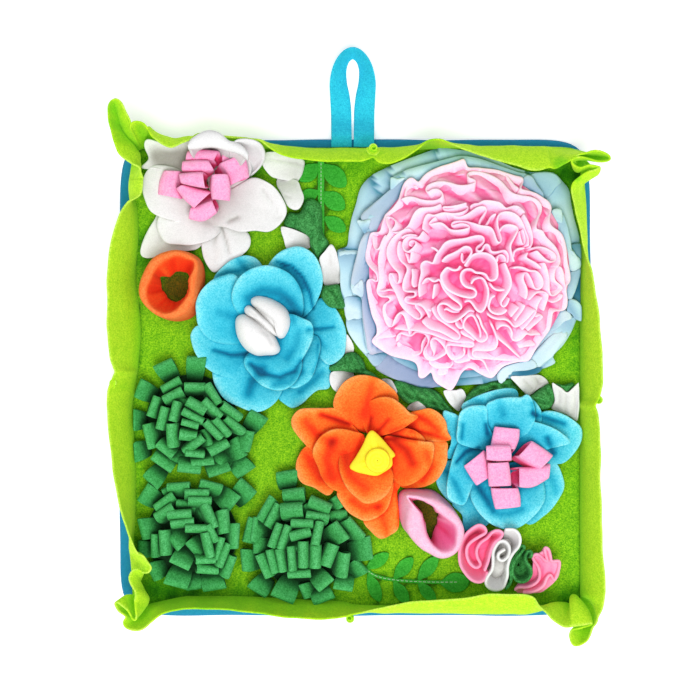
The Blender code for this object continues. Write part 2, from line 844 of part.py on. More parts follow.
def add_loop(shape, ring, angle, dome, base, unevenness):
    """One fleece loop: a strip that leaves the backing, turns over and comes back."""
    _, root, lean, length, width, _ = ring
    lean = min(lean + 6.0 * unevenness, 90.0)
    length = length * (1.0 + 0.08 * unevenness)
    tilt = math.radians(lean)
    direction = Vector((math.cos(tilt), math.sin(tilt)))
    normal = Vector((-math.sin(tilt), math.cos(tilt)))
    start = Vector((root, dome_height(root, dome)))

    def leg_root(side):
        reach = 0.0
        while True:
            point = start + normal * side * LOOP_OPENING / 2 + direction * reach
            if point.y < dome_height(abs(point.x), dome) - ROOT_DEPTH or point.y < ROOT_DEPTH:
                return point
            reach -= 0.5

    path = [leg_root(-1)]
    for side in (-1, 1):
        path.append(start + direction * length + normal * side * LOOP_OPENING / 2)
    path.append(leg_root(1))
    turn = math.radians(angle)
    outward = Vector((math.cos(turn), math.sin(turn), 0.0))
    across = Vector((-math.sin(turn), math.cos(turn), 0.0))
    half_widths = (width / 2 * LOOP_ROOT_SHARE, width / 2, width / 2, width / 2 * LOOP_ROOT_SHARE)
    rows = []
    for side in (-1, 1):
        row = []
        for point, half_width in zip(path, half_widths):
            place = outward * point.x + across * side * half_width
            row.append(base + place + Vector((0.0, 0.0, point.y)))
        rows.append(row)
    add_grid(shape, rows)


def build_loop_bunch(name, place, rings, dome, turn, bare_middle, colour, parts, helpers):
    """A bunch of fleece loops, fused to a domed backing at their roots."""
    loops = bmesh.new()
    for ring_index, ring in enumerate(rings):
        count = ring[0]
        for index in range(count):
            angle = turn + ring[5] + 360.0 * index / count
            if ring_index == 0 and bare_middle is not None:
                away = (angle - bare_middle + 180.0) % 360.0 - 180.0
                if abs(away) < POMPOM_BARE_HALF:
                    continue
            unevenness = math.sin(2.4 * index + 1.7 * ring_index + turn)
            add_loop(loops, ring, angle, dome, place, unevenness)
    loop_item = mesh_object(name + "_loops", loops, helpers, colour)
    thicken(loop_item, LOOP_FELT)
    hide_helper(loop_item)
    backing = bmesh.new()
    bmesh.ops.create_uvsphere(backing, u_segments=14, v_segments=6, radius=1.0)
    for vertex in backing.verts:
        vertex.co.z = max(vertex.co.z, 0.0)
    bmesh.ops.scale(backing, vec=(dome[0], dome[0], dome[1]), verts=backing.verts)
    bmesh.ops.translate(backing, vec=place, verts=backing.verts)
    item = mesh_object(name, backing, parts, colour)
    join = item.modifiers.new("loops", "BOOLEAN")
    join.operation = "UNION"
    join.solver = "EXACT"
    join.object = loop_item


def build_loop_bunches(parts, helpers):
    """The three green pompoms and the pink middles of two flowers."""
    for name, x, y, turn, bare_middle in POMPOMS:
        build_loop_bunch(name, Vector((x, y, SEWN)), POMPOM_RINGS, POMPOM_DOME, turn,
                         bare_middle, POMPOM_GREEN, parts, helpers)
    height = SEWN + 2 * (FELT + SEAM_GAP)
    for name, x, y, turn in STAMENS:
        build_loop_bunch(name, Vector((x, y, height)), STAMEN_RINGS, STAMEN_DOME, turn, None,
                         ROSE, parts, helpers)


def build_blue_puff(collection):
    """The white gathered puff in the middle of blue flower A."""
    centre = Vector((-82.5, 48.0, 0.0))
    half_length = 29.0
    half_width = 25.0
    half_height = 11.0
    heading = math.radians(60.0)
    ridges = 4.0
    ridge_height = 2.4
    shape = bmesh.new()
    bmesh.ops.create_uvsphere(shape, u_segments=16, v_segments=8, radius=1.0)
    low = SEWN + 2 * (FELT + SEAM_GAP) + half_height
    for vertex in shape.verts:
        x, y, z = vertex.co
        bump = 0.0
        if z > 0.0:
            bump = ridge_height * abs(math.sin(x * ridges * math.pi / 2)) * z
        along = y * half_length
        across = x * half_width
        vertex.co.x = across * math.cos(heading) - along * math.sin(heading)
        vertex.co.y = across * math.sin(heading) + along * math.cos(heading)
        vertex.co.z = z * half_height + bump
    bmesh.ops.translate(shape, vec=centre + Vector((0, 0, low)), verts=shape.verts)
    mesh_object("blue_flower_a_puff", shape, collection, WHITE)


def build_orange_roll(collection):
    """The yellow rolled middle of the orange flower: a short wound cone."""
    foot_radius = 12.0
    rim_radius = 17.0
    height = 22.0
    groove = 1.6
    wall_steps = 14
    centre = Vector((16.0, -63.0, SEWN + 2 * (FELT + SEAM_GAP)))
    lean = Vector((3.0, -2.0, 0.0))
    levels = (
        # share of height, share of rim radius
        (0.0, foot_radius / rim_radius),
        (0.6, 0.92),
        (1.0, 1.0),
        (0.93, 0.72),
        (1.04, 0.4),
    )
    shape = bmesh.new()
    rows = []
    for share, radius_share in levels:
        row = []
        for index in range(wall_steps):
            angle = 360.0 * index / wall_steps
            wound = groove * index / wall_steps
            radius = rim_radius * radius_share - wound * share
            row.append(centre + lean * share + polar(radius, angle)
                       + Vector((0, 0, height * share)))
        rows.append(row)
    add_grid(shape, rows, closed=True, filled=True)
    shape.verts.ensure_lookup_table()
    shape.faces.new([shape.verts[len(shape.verts) - 1 - index] for index in range(wall_steps)])
    bmesh.ops.recalc_face_normals(shape, faces=shape.faces)
    mesh_object("orange_flower_roll", shape, collection, YELLOW)


def peony_disc_height(radius, angle, disc_radius, seat, pleats):
    """Height of the middle of a pleated disc."""
    base = SEWN + THIN_FELT / 2 + seat * (THIN_FELT + SEAM_GAP)
    rise = PEONY_DISC_RISE + seat * (PEONY_PLEAT + SEAM_GAP)
    share = max(0.0, radius - BUTTON) / (disc_radius - BUTTON)
    pleat = PEONY_PLEAT * (0.5 + 0.5 * math.cos(math.radians(pleats * angle)))
    return base + (rise + pleat) * share


def build_peony(collection):
    """The peony: two pleated discs under rings of ruffle that stand and splay."""
    centre = Vector((*PEONY_CENTRE, 0.0))
    for name, radius, extra, seat, pleats in PEONY_DISCS:
        rows = []
        stations = pleats * 3
        for share in (0.0, 1.0):
            row = []
            for index in range(stations):
                angle = 360.0 * index / stations
                outline = radius - extra * math.cos(math.radians(angle - 45.0))
                distance = BUTTON + (outline - BUTTON) * share
                height = peony_disc_height(distance, angle, outline, seat, pleats)
                row.append(centre + polar(distance, angle) + Vector((0, 0, height)))
            rows.append(row)
        sheet(name, rows, THIN_FELT, collection, PALE_BLUE, closed=True, filled=True)
    _, disc_radius, extra, seat, _ = PEONY_DISCS[1]
    for number, (foot, rim, rim_height, amplitude, waves) in enumerate(PEONY_RUFFLES, 1):
        crest = peony_disc_height(foot, 0.0, disc_radius - extra, seat, 0)
        foot_height = crest + THIN_FELT / 2 + RUFFLE_FOOT_LIFT
        slope = Vector((rim - foot, rim_height - foot_height)).normalized()
        stations = waves * RUFFLE_STATIONS
        low = []
        high = []
        for index in range(stations):
            angle = 360.0 * index / stations
            swing = amplitude * math.cos(2 * math.pi * index / RUFFLE_STATIONS + 0.5)
            radius = rim - swing * slope.y
            height = rim_height + swing * slope.x
            low.append(centre + polar(foot, angle) + Vector((0, 0, foot_height)))
            high.append(centre + polar(radius, angle) + Vector((0, 0, height)))
        sheet(f"peony_ruffle_{number}", [low, high], THIN_FELT, collection, PINK, closed=True)


def build_small_ruffles(collection):
    """The row of four small gathered ruffles."""
    for name, x, y, half_width, half_depth, height, waves, colour in SMALL_RUFFLES:
        stations = waves * RUFFLE_STATIONS
        rows = []
        for share in (0.0, 1.0):
            spread = SMALL_RUFFLE_FOOT + (1.0 - SMALL_RUFFLE_FOOT) * share
            row = []
            for index in range(stations):
                turn = 2 * math.pi * index / stations
                swing = SMALL_RUFFLE_WAVE * share * math.cos(2 * math.pi * index / RUFFLE_STATIONS)
                place_x = x + (half_width * spread + swing) * math.cos(turn)
                place_y = y + (half_depth * spread + swing) * math.sin(turn)
                row.append(Vector((place_x, place_y, SEWN + THIN_FELT / 4 + height * share)))
            rows.append(row)
        sheet(name, rows, THIN_FELT, collection, colour, closed=True)


def build_cups(collection):
    """The two rolled fleece cups, open at the top, with the rim turned out."""
    for name, x, y, half_length, half_width, heading, height, shift, colour in CUPS:
        axis = polar(1.0, heading)
        across = polar(1.0, heading + 90.0)
        rows = []
        for radius_share, height_share in CUP_PROFILE:
            centre = Vector((x, y, 0.0)) + axis * shift * height_share
            row = []
            for index in range(CUP_STATIONS):
                turn = 2 * math.pi * index / CUP_STATIONS
                uneven = 1.0 + 0.03 * math.cos(3 * turn + 1.0)
                along = half_length * radius_share * uneven * math.cos(turn)
                sideways = half_width * radius_share * uneven * math.sin(turn)
                lift = Vector((0.0, 0.0, SEWN + SEAM_GAP + height * height_share))
                row.append(centre + axis * along + across * sideways + lift)
            rows.append(row)
        sheet(name, rows, FELT, collection, colour, closed=True)


def build_vines(collection):
    """Stretches of two-strand twisted fleece rope."""
    sides = 8
    for name, points in VINES.items():
        length = sum((Vector(b) - Vector(a)).length for a, b in zip(points, points[1:]))
        steps = max(2, round(length / VINE_STEP / (len(points) - 1)))
        route = smooth_route(points, steps)
        shape = bmesh.new()
        rows = []
        for index, (x, y) in enumerate(route):
            before = route[max(index - 1, 0)]
            after = route[min(index + 1, len(route) - 1)]
            along = Vector((after[0] - before[0], after[1] - before[1], 0.0)).normalized()
            across = Vector((-along.y, along.x, 0.0))
            centre = Vector((x, y, SEWN + VINE_RADIUS * (1.0 + VINE_STRANDS)))
            end_share = 0.72 if index in (0, len(route) - 1) else 1.0
            row = []
            for side in range(sides):
                turn = 2 * math.pi * side / sides
                twist = math.radians(VINE_TURN * index)
                radius = VINE_RADIUS * end_share * (
                    1.0 + VINE_STRANDS * math.cos(2 * (turn - twist)))
                offset = across * math.cos(turn) + Vector((0, 0, math.sin(turn)))
                row.append(centre + offset * radius)
            rows.append(row)
        add_grid(shape, rows, closed=True, filled=True)
        shape.verts.ensure_lookup_table()
        last = [shape.verts[len(shape.verts) - sides + side] for side in range(sides)]
        shape.faces.new(last[::-1])
        bmesh.ops.recalc_face_normals(shape, faces=shape.faces)
        mesh_object(name, shape, collection, VINE_GREEN)


def build_leaves(collection):
    """The white leaf tips: small arched, cupped pieces of felt."""
    lengthwise = (-1.0, -0.55, 0.1, 0.65, 1.0)
    end_width = 0.22
    for name, x, y, heading, length, width in LEAVES:
        axis = polar(1.0, heading)
        across = polar(1.0, heading + 90.0)
        rows = []
        for share in lengthwise:
            half = width / 2 * (end_width + (1.0 - end_width) * (1.0 - share ** 2))
            row = []
            for side in (-1.0, 0.0, 1.0):
                height = SEWN + THIN_FELT / 2 + SEAM_GAP
                height += LEAF_ARCH * (1.0 - share ** 2) - LEAF_CUP * (1.0 - share ** 2) * abs(side)
                place = Vector((x, y, 0.0)) + axis * length / 2 * share + across * half * side
                row.append(place + Vector((0.0, 0.0, height)))
            rows.append(row)
        sheet(name, rows, THIN_FELT, collection, WHITE)


def main():
    """Build the whole mat."""
    clear_scene()
    parts = new_collection(PARTS_NAME)
    helpers = new_collection(CUTTERS_NAME)
    build_pad(parts)
    build_panel(parts)
    build_fence(parts)
    build_tucks(parts)
    build_hanging_loop(parts)
    build_twigs(parts)
    build_petal_layers(parts)
    build_blue_puff(parts)
    build_orange_roll(parts)
    build_loop_bunches(parts, helpers)
    build_peony(parts)
    build_small_ruffles(parts)
    build_cups(parts)
    build_vines(parts)
    build_leaves(parts)


main()
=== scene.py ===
"""The snuffle mat's visual model: every cloth piece in full detail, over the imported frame.

Tables are in millimetres and degrees. Outlines are given as places in the 700 x 700 frame and
are carried down to the height at which the piece lies, so they stay in the frame of the solids.
"""

import math
import random

import bpy
import numpy as np
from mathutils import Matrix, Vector
from mathutils.bvhtree import BVHTree


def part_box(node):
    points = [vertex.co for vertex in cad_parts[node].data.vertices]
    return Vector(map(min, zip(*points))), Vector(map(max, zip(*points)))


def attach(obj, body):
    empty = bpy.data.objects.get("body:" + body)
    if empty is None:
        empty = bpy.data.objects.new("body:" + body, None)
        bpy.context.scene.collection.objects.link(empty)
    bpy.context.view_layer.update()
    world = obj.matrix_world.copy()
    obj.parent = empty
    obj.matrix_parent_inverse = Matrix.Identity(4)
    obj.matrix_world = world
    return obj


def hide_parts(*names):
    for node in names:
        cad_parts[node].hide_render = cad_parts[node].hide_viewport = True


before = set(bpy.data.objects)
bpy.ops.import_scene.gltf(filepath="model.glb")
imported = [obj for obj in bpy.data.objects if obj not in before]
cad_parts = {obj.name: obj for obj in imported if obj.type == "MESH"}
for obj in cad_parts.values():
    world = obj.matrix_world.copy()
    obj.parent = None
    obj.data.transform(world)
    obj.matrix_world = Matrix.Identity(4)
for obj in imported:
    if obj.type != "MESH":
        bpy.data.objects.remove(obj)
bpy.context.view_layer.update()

MM = 0.001
BODY = "root"
CAMERA = (-4.785, 26.32, 1302.6)
MM_PER_PIXEL = 0.957
FRAME_MIDDLE = 350.0
# Height at which the pieces are sewn to the floor panel, and at which their lowest cloth lies.
SEWN = 10.6
LOWEST = SEWN + 1.2
# How far sewn pieces reach towards the side walls before they press against them.
POMPOM_LIMIT = -206.5
DISC_LIMIT = 211.8
LEAF_LIMIT = 209.3
THICKNESS = {
    "panel": 2.0, "fence": 2.0, "tuck": 1.5, "ribbon": 1.1, "petal": 1.9, "pompom": 1.9, "pink loop": 1.5,
    "disc": 1.4, "ruffle": 2.2, "cup": 1.8, "roll": 1.2, "small ruffle": 3.0, "leaf": 1.8, "twig": 1.3,
}
# How much of its way beyond a wall a pressed piece keeps.
PRESSED = 0.2
# Share of a strip that the pieces cut from it take up.
STRIP_USE = 0.78


def place(u, v, height):
    """Millimetre position of a place in the frame, at a height."""
    scale = MM_PER_PIXEL * (CAMERA[2] - height) / CAMERA[2]
    return np.array((CAMERA[0] + (u - FRAME_MIDDLE) * scale,
                     CAMERA[1] - (v - FRAME_MIDDLE) * scale, height))


def wave(seed, value):
    """A smooth, repeatable wobble between about -1 and 1."""
    return (math.sin(value + 1.7 * seed) + 0.6 * math.sin(2.3 * value + 3.1 * seed)) / 1.6


# ---------------------------------------------------------------- meshes

class Cloth:
    """Points and faces of one piece of cloth, gathered from several sheets, in millimetres.

    tones say how light each point is painted: low in shaded folds (painted shade), high on lit surfaces
    and rims (painted highlight); the shade tint amounts (by point) say how much of the material's painted
    shade colour it takes.
    """

    def __init__(self):
        self.points = []
        self.faces = []
        self.tones = []
        self.shade_tint_amounts = {}
        self.area = 0.0

    def add(self, rows, closed=False, tone=None):
        """Add a grid of points (rows, columns, 3). A closed one joins its last column to its first."""
        rows = np.asarray(rows, dtype=float)
        height, width = rows.shape[:2]
        start = len(self.points)
        self.points.extend(rows.reshape(-1, 3).tolist())
        if tone is None:
            tone = np.ones((height, width))
        self.tones.extend(np.asarray(tone, dtype=float).reshape(-1).tolist())
        last = width if closed else width - 1
        for i in range(height - 1):
            upper, lower = start + i * width, start + (i + 1) * width
            for j in range(last):
                k = (j + 1) % width
                self.faces.append((upper + j, upper + k, lower + k, lower + j))
        here, down = rows[:-1], rows[1:]
        side = np.roll(here, -1, axis=1)[:, :last]
        both = np.roll(down, -1, axis=1)[:, :last]
        cross = np.cross(both - here[:, :last], down[:, :last] - side)
        self.area += 0.5 * np.linalg.norm(cross, axis=2).sum()

    def cap(self, indices):
        """Close a ring of points with one face."""
        self.faces.append(tuple(indices))

    def hold_back(self, limit, side):
        """Press whatever would lie beyond the left wall (side -1) or the right wall (1) against it."""
        for point in self.points:
            if (point[0] - limit) * side > 0:
                point[0] = limit + PRESSED * (point[0] - limit)

    def build(self, name, thickness=0.0, smooth=1, crease=0.0):
        """Make the object: metres, thickness, subdivision."""
        mesh = bpy.data.meshes.new(name)
        mesh.from_pydata([tuple(c * MM for c in p) for p in self.points], [], self.faces)
        mesh.shade_smooth()
        # Painted light: tone is low where the cloth lies in shade and high on lit surfaces and rims.
        layer = mesh.attributes.new("tone", "FLOAT", "POINT")
        layer.data.foreach_set("value", self.tones)
        # Painted shade colour: how strongly each point takes the material's shade tint.
        if self.shade_tint_amounts:
            shade_tint = mesh.attributes.new("shade_tint", "FLOAT", "POINT")
            for index, value in self.shade_tint_amounts.items():
                shade_tint.data[index].value = value
        mesh.update()
        item = bpy.data.objects.new(name, mesh)
        bpy.context.scene.collection.objects.link(item)
        if thickness:
            solid = item.modifiers.new("thickness", "SOLIDIFY")
            solid.thickness = thickness * MM
            solid.offset = 0.0
            solid.edge_crease_rim = crease
            solid.edge_crease_inner = crease
            solid.edge_crease_outer = crease
        if smooth:
            fine = item.modifiers.new("smooth", "SUBSURF")
            fine.levels = smooth
            fine.render_levels = smooth
        return item


def curve(points, steps, closed=False):
    """A Catmull-Rom curve through rows of numbers."""
    points = np.asarray(points, dtype=float)
    count = len(points)
    spans = count if closed else count - 1
    out = []
    for i in range(spans):
        if closed:
            a, b, c, d = (points[(i + k) % count] for k in (-1, 0, 1, 2))
        else:
            a, b, c, d = (points[min(max(i + k, 0), count - 1)] for k in (-1, 0, 1, 2))
        for k in range(steps):
            t = k / steps
            out.append(0.5 * (2 * b + (c - a) * t + (2 * a - 5 * b + 4 * c - d) * t * t
                              + (3 * b - a - 3 * c + d) * t ** 3))
    if not closed:
        out.append(points[-1])
    return np.array(out)


def resample(points, count, closed=False):
    """Evenly spaced points along a polyline."""
    points = np.asarray(points, dtype=float)
    if closed:
        points = np.vstack([points, points[:1]])
    steps = np.linalg.norm(np.diff(points, axis=0), axis=1)
    along = np.concatenate([[0.0], np.cumsum(steps)])
    spots = np.linspace(0.0, along[-1], count, endpoint=not closed)
    return np.array([np.interp(spots, along, points[:, k]) for k in range(points.shape[1])]).T


def plan_of(outline, height):
    """Places of the frame carried down to a height, seen in plan."""
    return np.array([place(u, v, height)[:2] for u, v in outline])


def smooth_ring(points, steps, count):
    """Evenly spaced points along the closed curve through some points."""
    return resample(curve(points, steps, closed=True), count, closed=True)


def lifted(plan, height):
    """A grid of plan points with their heights."""
    return np.concatenate([plan, height[..., None]], axis=2)


PIECES = []


def dress(item, node, material):
    """Let a piece stand for a CAD node, and say what it is made of."""
    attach(item, BODY)
    if node:
        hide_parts(*([node] if isinstance(node, str) else node))
    item.data.materials.append(material)
    PIECES.append(item)
    return item


def cut_size(cloth, width):
    """Flat size and area in metres of pieces laid side by side in a strip of a given width."""
    area = cloth.area * MM * MM
    return (width * MM, area / (STRIP_USE * width * MM)), area


# ---------------------------------------------------------------- materials

# Each cloth below colours its points by tone: low tones are the painted shade of its folds, high tones
# its lit surface and the painted highlight on rims.
WHITE = (1.0, 1.0, 1.0)


def cloth_material(name, stops, pits=(0.82, 0.86, 0.80), pill=1.6, relief=0.5, fuzz=0.35,
                   rib=None, halo=None, shade_tint=None, painted_glow=None):
    """Napped cloth: colours by tone, with pills and fibres in colour and relief, and sheen.

    stops gives (tone, colour) rows, from the painted shade deep in the folds to the lit open surface.
    pits is how much darker the cloth is between its pills, pill their size, rib the pitch of a weave,
    halo the colour of the sheen, the shade tint a painted colour of shade that shaded points are
    multiplied by, and
    the glow a painted glow: an emission that lightens the shaded folds, standing in for the light that
    bright fleece passes on through them.
    """
    material = bpy.data.materials.new(name)
    material.use_nodes = True
    nodes = material.node_tree.nodes
    links = material.node_tree.links
    shader = nodes["Principled BSDF"]
    shader.inputs["Roughness"].default_value = 0.92
    shader.inputs["Specular IOR Level"].default_value = 0.2
    shader.inputs["Sheen Weight"].default_value = fuzz
    shader.inputs["Sheen Roughness"].default_value = 0.45
    shader.inputs["Sheen Tint"].default_value = (*(halo or stops[-1][1]), 1.0)
    spot = nodes.new("ShaderNodeTexCoord")

    def noise(size, detail, roughness=0.55):
        node = nodes.new("ShaderNodeTexNoise")
        node.inputs["Scale"].default_value = 1.0 / (size * MM)
        node.inputs["Detail"].default_value = detail
        node.inputs["Roughness"].default_value = roughness
        links.new(spot.outputs["Object"], node.inputs["Vector"])
        return node.outputs["Fac"]

    def ramp(source, rows):
        node = nodes.new("ShaderNodeValToRGB")
        marks = node.color_ramp.elements
        while len(marks) < len(rows):
            marks.new(1.0)
        for mark, (position, colour) in zip(marks, rows):
            mark.position = position
            mark.color = (*colour, 1.0)
        links.new(source, node.inputs["Fac"])
        return node.outputs["Color"]

    def multiply(first, second):
        node = nodes.new("ShaderNodeMix")
        node.data_type = "RGBA"
        node.blend_type = "MULTIPLY"
        node.inputs["Factor"].default_value = 1.0
        links.new(first, node.inputs[6])
        links.new(second, node.inputs[7])
        return node.outputs[2]

    pills = noise(pill, 3.0)
    tufts = noise(pill * 2.7, 2.0)
    grain = noise(pill * 0.5, 1.0)
    fibres = noise(pill * 0.22, 2.0)
    drift = noise(42.0, 2.0)
    tone = nodes.new("ShaderNodeAttribute")
    tone.attribute_name = "tone"
    colour = ramp(tone.outputs["Fac"], stops)
    # Painted shade colour: points marked as shaded are multiplied by the shade tint.
    if shade_tint:
        amount = nodes.new("ShaderNodeAttribute")
        amount.attribute_name = "shade_tint"
        blend = nodes.new("ShaderNodeMix")
        blend.data_type = "RGBA"
        blend.blend_type = "MULTIPLY"
        blend.inputs[7].default_value = (*shade_tint, 1.0)
        links.new(amount.outputs["Fac"], blend.inputs["Factor"])
        links.new(colour, blend.inputs[6])
        colour = blend.outputs[2]
    # Painted glow: an emission that lightens the cloth's shaded folds.
    if painted_glow:
        shader.inputs["Emission Color"].default_value = (*painted_glow, 1.0)
        shader.inputs["Emission Strength"].default_value = 1.0
    tuft_pits = tuple(0.55 + 0.45 * part for part in pits)
    grain_pits = tuple(0.45 + 0.55 * part for part in pits)
    for source, dark, start, end in ((pills, pits, 0.36, 0.60), (tufts, tuft_pits, 0.38, 0.58),
                                     (grain, grain_pits, 0.40, 0.52), (fibres, (0.90,) * 3, 0.3, 0.62),
                                     (drift, (0.93,) * 3, 0.35, 0.65)):
        colour = multiply(colour, ramp(source, ((start, dark), (end, WHITE))))
    links.new(colour, shader.inputs["Base Color"])
    height = nodes.new("ShaderNodeBump")
    height.inputs["Strength"].default_value = relief
    height.inputs["Distance"].default_value = 0.5 * MM
    links.new(pills, height.inputs["Height"])
    fine = nodes.new("ShaderNodeBump")
    fine.inputs["Strength"].default_value = relief * 0.8
    fine.inputs["Distance"].default_value = 0.16 * MM
    links.new(fibres, fine.inputs["Height"])
    links.new(height.outputs["Normal"], fine.inputs["Normal"])
    last = fine
    if rib is not None:
        for direction in ("X", "Y"):
            band = nodes.new("ShaderNodeTexWave")
            band.bands_direction = direction
            band.inputs["Scale"].default_value = 1.0 / (rib * MM) / 3.2
            band.inputs["Distortion"].default_value = 0.6
            links.new(spot.outputs["Object"], band.inputs["Vector"])
            weave = nodes.new("ShaderNodeBump")
            weave.inputs["Strength"].default_value = 0.5
            weave.inputs["Distance"].default_value = 0.14 * MM
            links.new(band.outputs["Fac"], weave.inputs["Height"])
            links.new(last.outputs["Normal"], weave.inputs["Normal"])
            last = weave
    links.new(last.outputs["Normal"], shader.inputs["Normal"])
    return material


# Lime fleece as a shaded copy for the floor: painted shade. Its lowest stops are painted shade too: olive
# inside the cups (painted shade with painted orange reflected light) and dark green at the feet of the
# walls. Its shade tint makes the shaded floor greener.
LIME_SHADED_FLOOR = cloth_material("lime_fleece", ((0.0, (0.13, 0.095, 0.002)), (0.22, (0.065, 0.21, 0.001)),
                                      (0.5, (0.17, 0.46, 0.004)), (1.0, (0.33, 0.67, 0.012))),
                      pits=(0.40, 0.64, 0.28), pill=1.5, relief=1.0, shade_tint=(0.25, 0.72, 0.70))
# The same lime fleece as a lit copy for the walls: painted light. It darkens towards the foot with
# painted shade, is paler at the very rim, and takes a painted green glow that lifts its shade.
LIME_LIT_WALL = cloth_material(
    "lime_fleece_lit_wall",
    ((0.0, (0.17, 0.54, 0.006)), (0.12, (0.33, 0.69, 0.012)), (0.35, (0.50, 0.77, 0.018)),
     (0.6, (0.57, 0.82, 0.026)), (0.965, (0.58, 0.83, 0.030)), (1.0, (0.64, 0.83, 0.11))),
    pits=(0.68, 0.82, 0.45), pill=1.6, relief=0.8, painted_glow=(0.035, 0.125, 0.002))
PAD_BLUE = cloth_material("backing_fabric", ((0.0, (0.018, 0.29, 0.48)), (1.0, (0.018, 0.29, 0.48))),
                          pits=(0.8, 0.85, 0.88), pill=0.9, relief=0.2, rib=0.9)
RIBBON = cloth_material("sky_ribbon", ((0.0, (0.020, 0.56, 0.80)), (1.0, (0.036, 0.66, 0.86))),
                        pits=(0.55, 0.78, 0.86), pill=1.2, relief=0.35, rib=0.9)
TWIG = cloth_material("twig_felt", ((0.0, (0.040, 0.36, 0.035)), (1.0, (0.072, 0.52, 0.052))),
                      pits=(0.50, 0.74, 0.50), pill=1.4, relief=0.5)
VINE = cloth_material("vine_fleece", ((0.0, (0.020, 0.15, 0.02)), (0.6, (0.060, 0.34, 0.085)),
                                      (1.0, (0.085, 0.40, 0.11))),
                      pits=(0.34, 0.50, 0.36), pill=1.5, relief=0.9)
WHITE_FELT = cloth_material("white_felt", ((0.0, (0.38, 0.36, 0.33)), (0.3, (0.66, 0.65, 0.63)),
                                           (0.6, (0.83, 0.825, 0.82)), (1.0, (0.88, 0.88, 0.88))),
                            pits=(0.93, 0.93, 0.93), pill=1.2, relief=0.3)
POMPOM = cloth_material(
    "pompom_fleece",
    ((0.0, (0.002, 0.028, 0.006)), (0.35, (0.012, 0.13, 0.028)), (0.7, (0.060, 0.40, 0.10)),
     (0.96, (0.085, 0.47, 0.14)), (1.0, (0.12, 0.55, 0.19))),
    pits=(0.50, 0.68, 0.54), pill=1.4, relief=0.9)
BLUE_FELT = cloth_material(
    "blue_felt",
    ((0.0, (0.001, 0.12, 0.24)), (0.3, (0.006, 0.34, 0.51)), (0.55, (0.060, 0.56, 0.72)),
     (0.8, (0.16, 0.72, 0.84)), (1.0, (0.36, 0.86, 0.92))),
    pits=(0.48, 0.84, 0.89), pill=1.5, relief=0.8)
PALE_BLUE = cloth_material(
    "pale_blue_felt",
    ((0.0, (0.015, 0.14, 0.24)), (0.25, (0.12, 0.34, 0.46)), (0.45, (0.32, 0.52, 0.68)),
     (0.7, (0.48, 0.72, 0.83)), (1.0, (0.68, 0.87, 0.91))),
    pits=(0.93, 0.96, 0.97), pill=1.1, relief=0.25, shade_tint=(0.88, 0.68, 0.80))
# Deep pink at low tone is the painted shade of the ruffles' valleys; the painted glow lifts their shade
# with pink.
PINK = cloth_material(
    "pink_fleece",
    ((0.0, (0.80, 0.030, 0.17)), (0.22, (0.90, 0.20, 0.42)), (0.48, (0.97, 0.55, 0.74)),
     (0.8, (0.97, 0.70, 0.84)), (1.0, (0.96, 0.82, 0.92))),
    pits=(0.97, 0.90, 0.94), pill=1.3, relief=0.3, fuzz=0.6, halo=(1.0, 0.22, 0.48),
    painted_glow=(0.09, 0.018, 0.045))
LOOP_PINK = cloth_material(
    "pink_loop_fleece",
    ((0.0, (0.80, 0.020, 0.13)), (0.3, (0.92, 0.20, 0.42)), (0.6, (0.97, 0.38, 0.62)),
     (1.0, (0.99, 0.48, 0.71))),
    pits=(0.96, 0.74, 0.86), pill=1.5, relief=0.6)
CUP_PINK = cloth_material(
    "pink_cup_fleece",
    ((0.0, (0.80, 0.040, 0.17)), (0.4, (0.92, 0.16, 0.38)), (0.75, (0.97, 0.40, 0.60)),
     (1.0, (0.98, 0.58, 0.74))),
    pits=(0.97, 0.84, 0.9), pill=1.6, relief=0.6)
# The painted glow lifts the shade in the rose's folds with pink.
ROSE = cloth_material(
    "rose_fleece",
    ((0.0, (0.70, 0.025, 0.11)), (0.22, (0.86, 0.13, 0.28)), (0.5, (0.93, 0.26, 0.43)),
     (1.0, (0.96, 0.42, 0.58))),
    pits=(0.97, 0.88, 0.92), pill=1.3, relief=0.35, painted_glow=(0.06, 0.012, 0.025))
ORANGE = cloth_material(
    "orange_felt",
    ((0.0, (0.45, 0.010, 0.002)), (0.3, (0.88, 0.055, 0.008)), (0.6, (0.97, 0.18, 0.020)),
     (0.82, (0.99, 0.30, 0.050)), (1.0, (0.99, 0.44, 0.13))),
    pits=(0.97, 0.66, 0.5), pill=1.5, relief=0.7)
CUP_ORANGE = cloth_material(
    "orange_cup_fleece",
    ((0.0, (0.80, 0.022, 0.003)), (0.4, (0.94, 0.050, 0.006)), (0.7, (0.94, 0.14, 0.020)),
     (1.0, (0.97, 0.27, 0.070))),
    pits=(0.96, 0.70, 0.6), pill=1.6, relief=0.6)
YELLOW = cloth_material(
    "yellow_felt",
    ((0.0, (0.80, 0.42, 0.002)), (0.5, (0.96, 0.78, 0.012)), (1.0, (1.0, 0.90, 0.050))),
    pits=(0.98, 0.94, 0.7), pill=1.1, relief=0.25)
THREAD = cloth_material("thread", ((0.0, (0.55, 0.78, 0.55)), (1.0, (0.62, 0.84, 0.62))),
                        pill=0.5, relief=0.2)


# ---------------------------------------------------------------- base, fence, ribbon

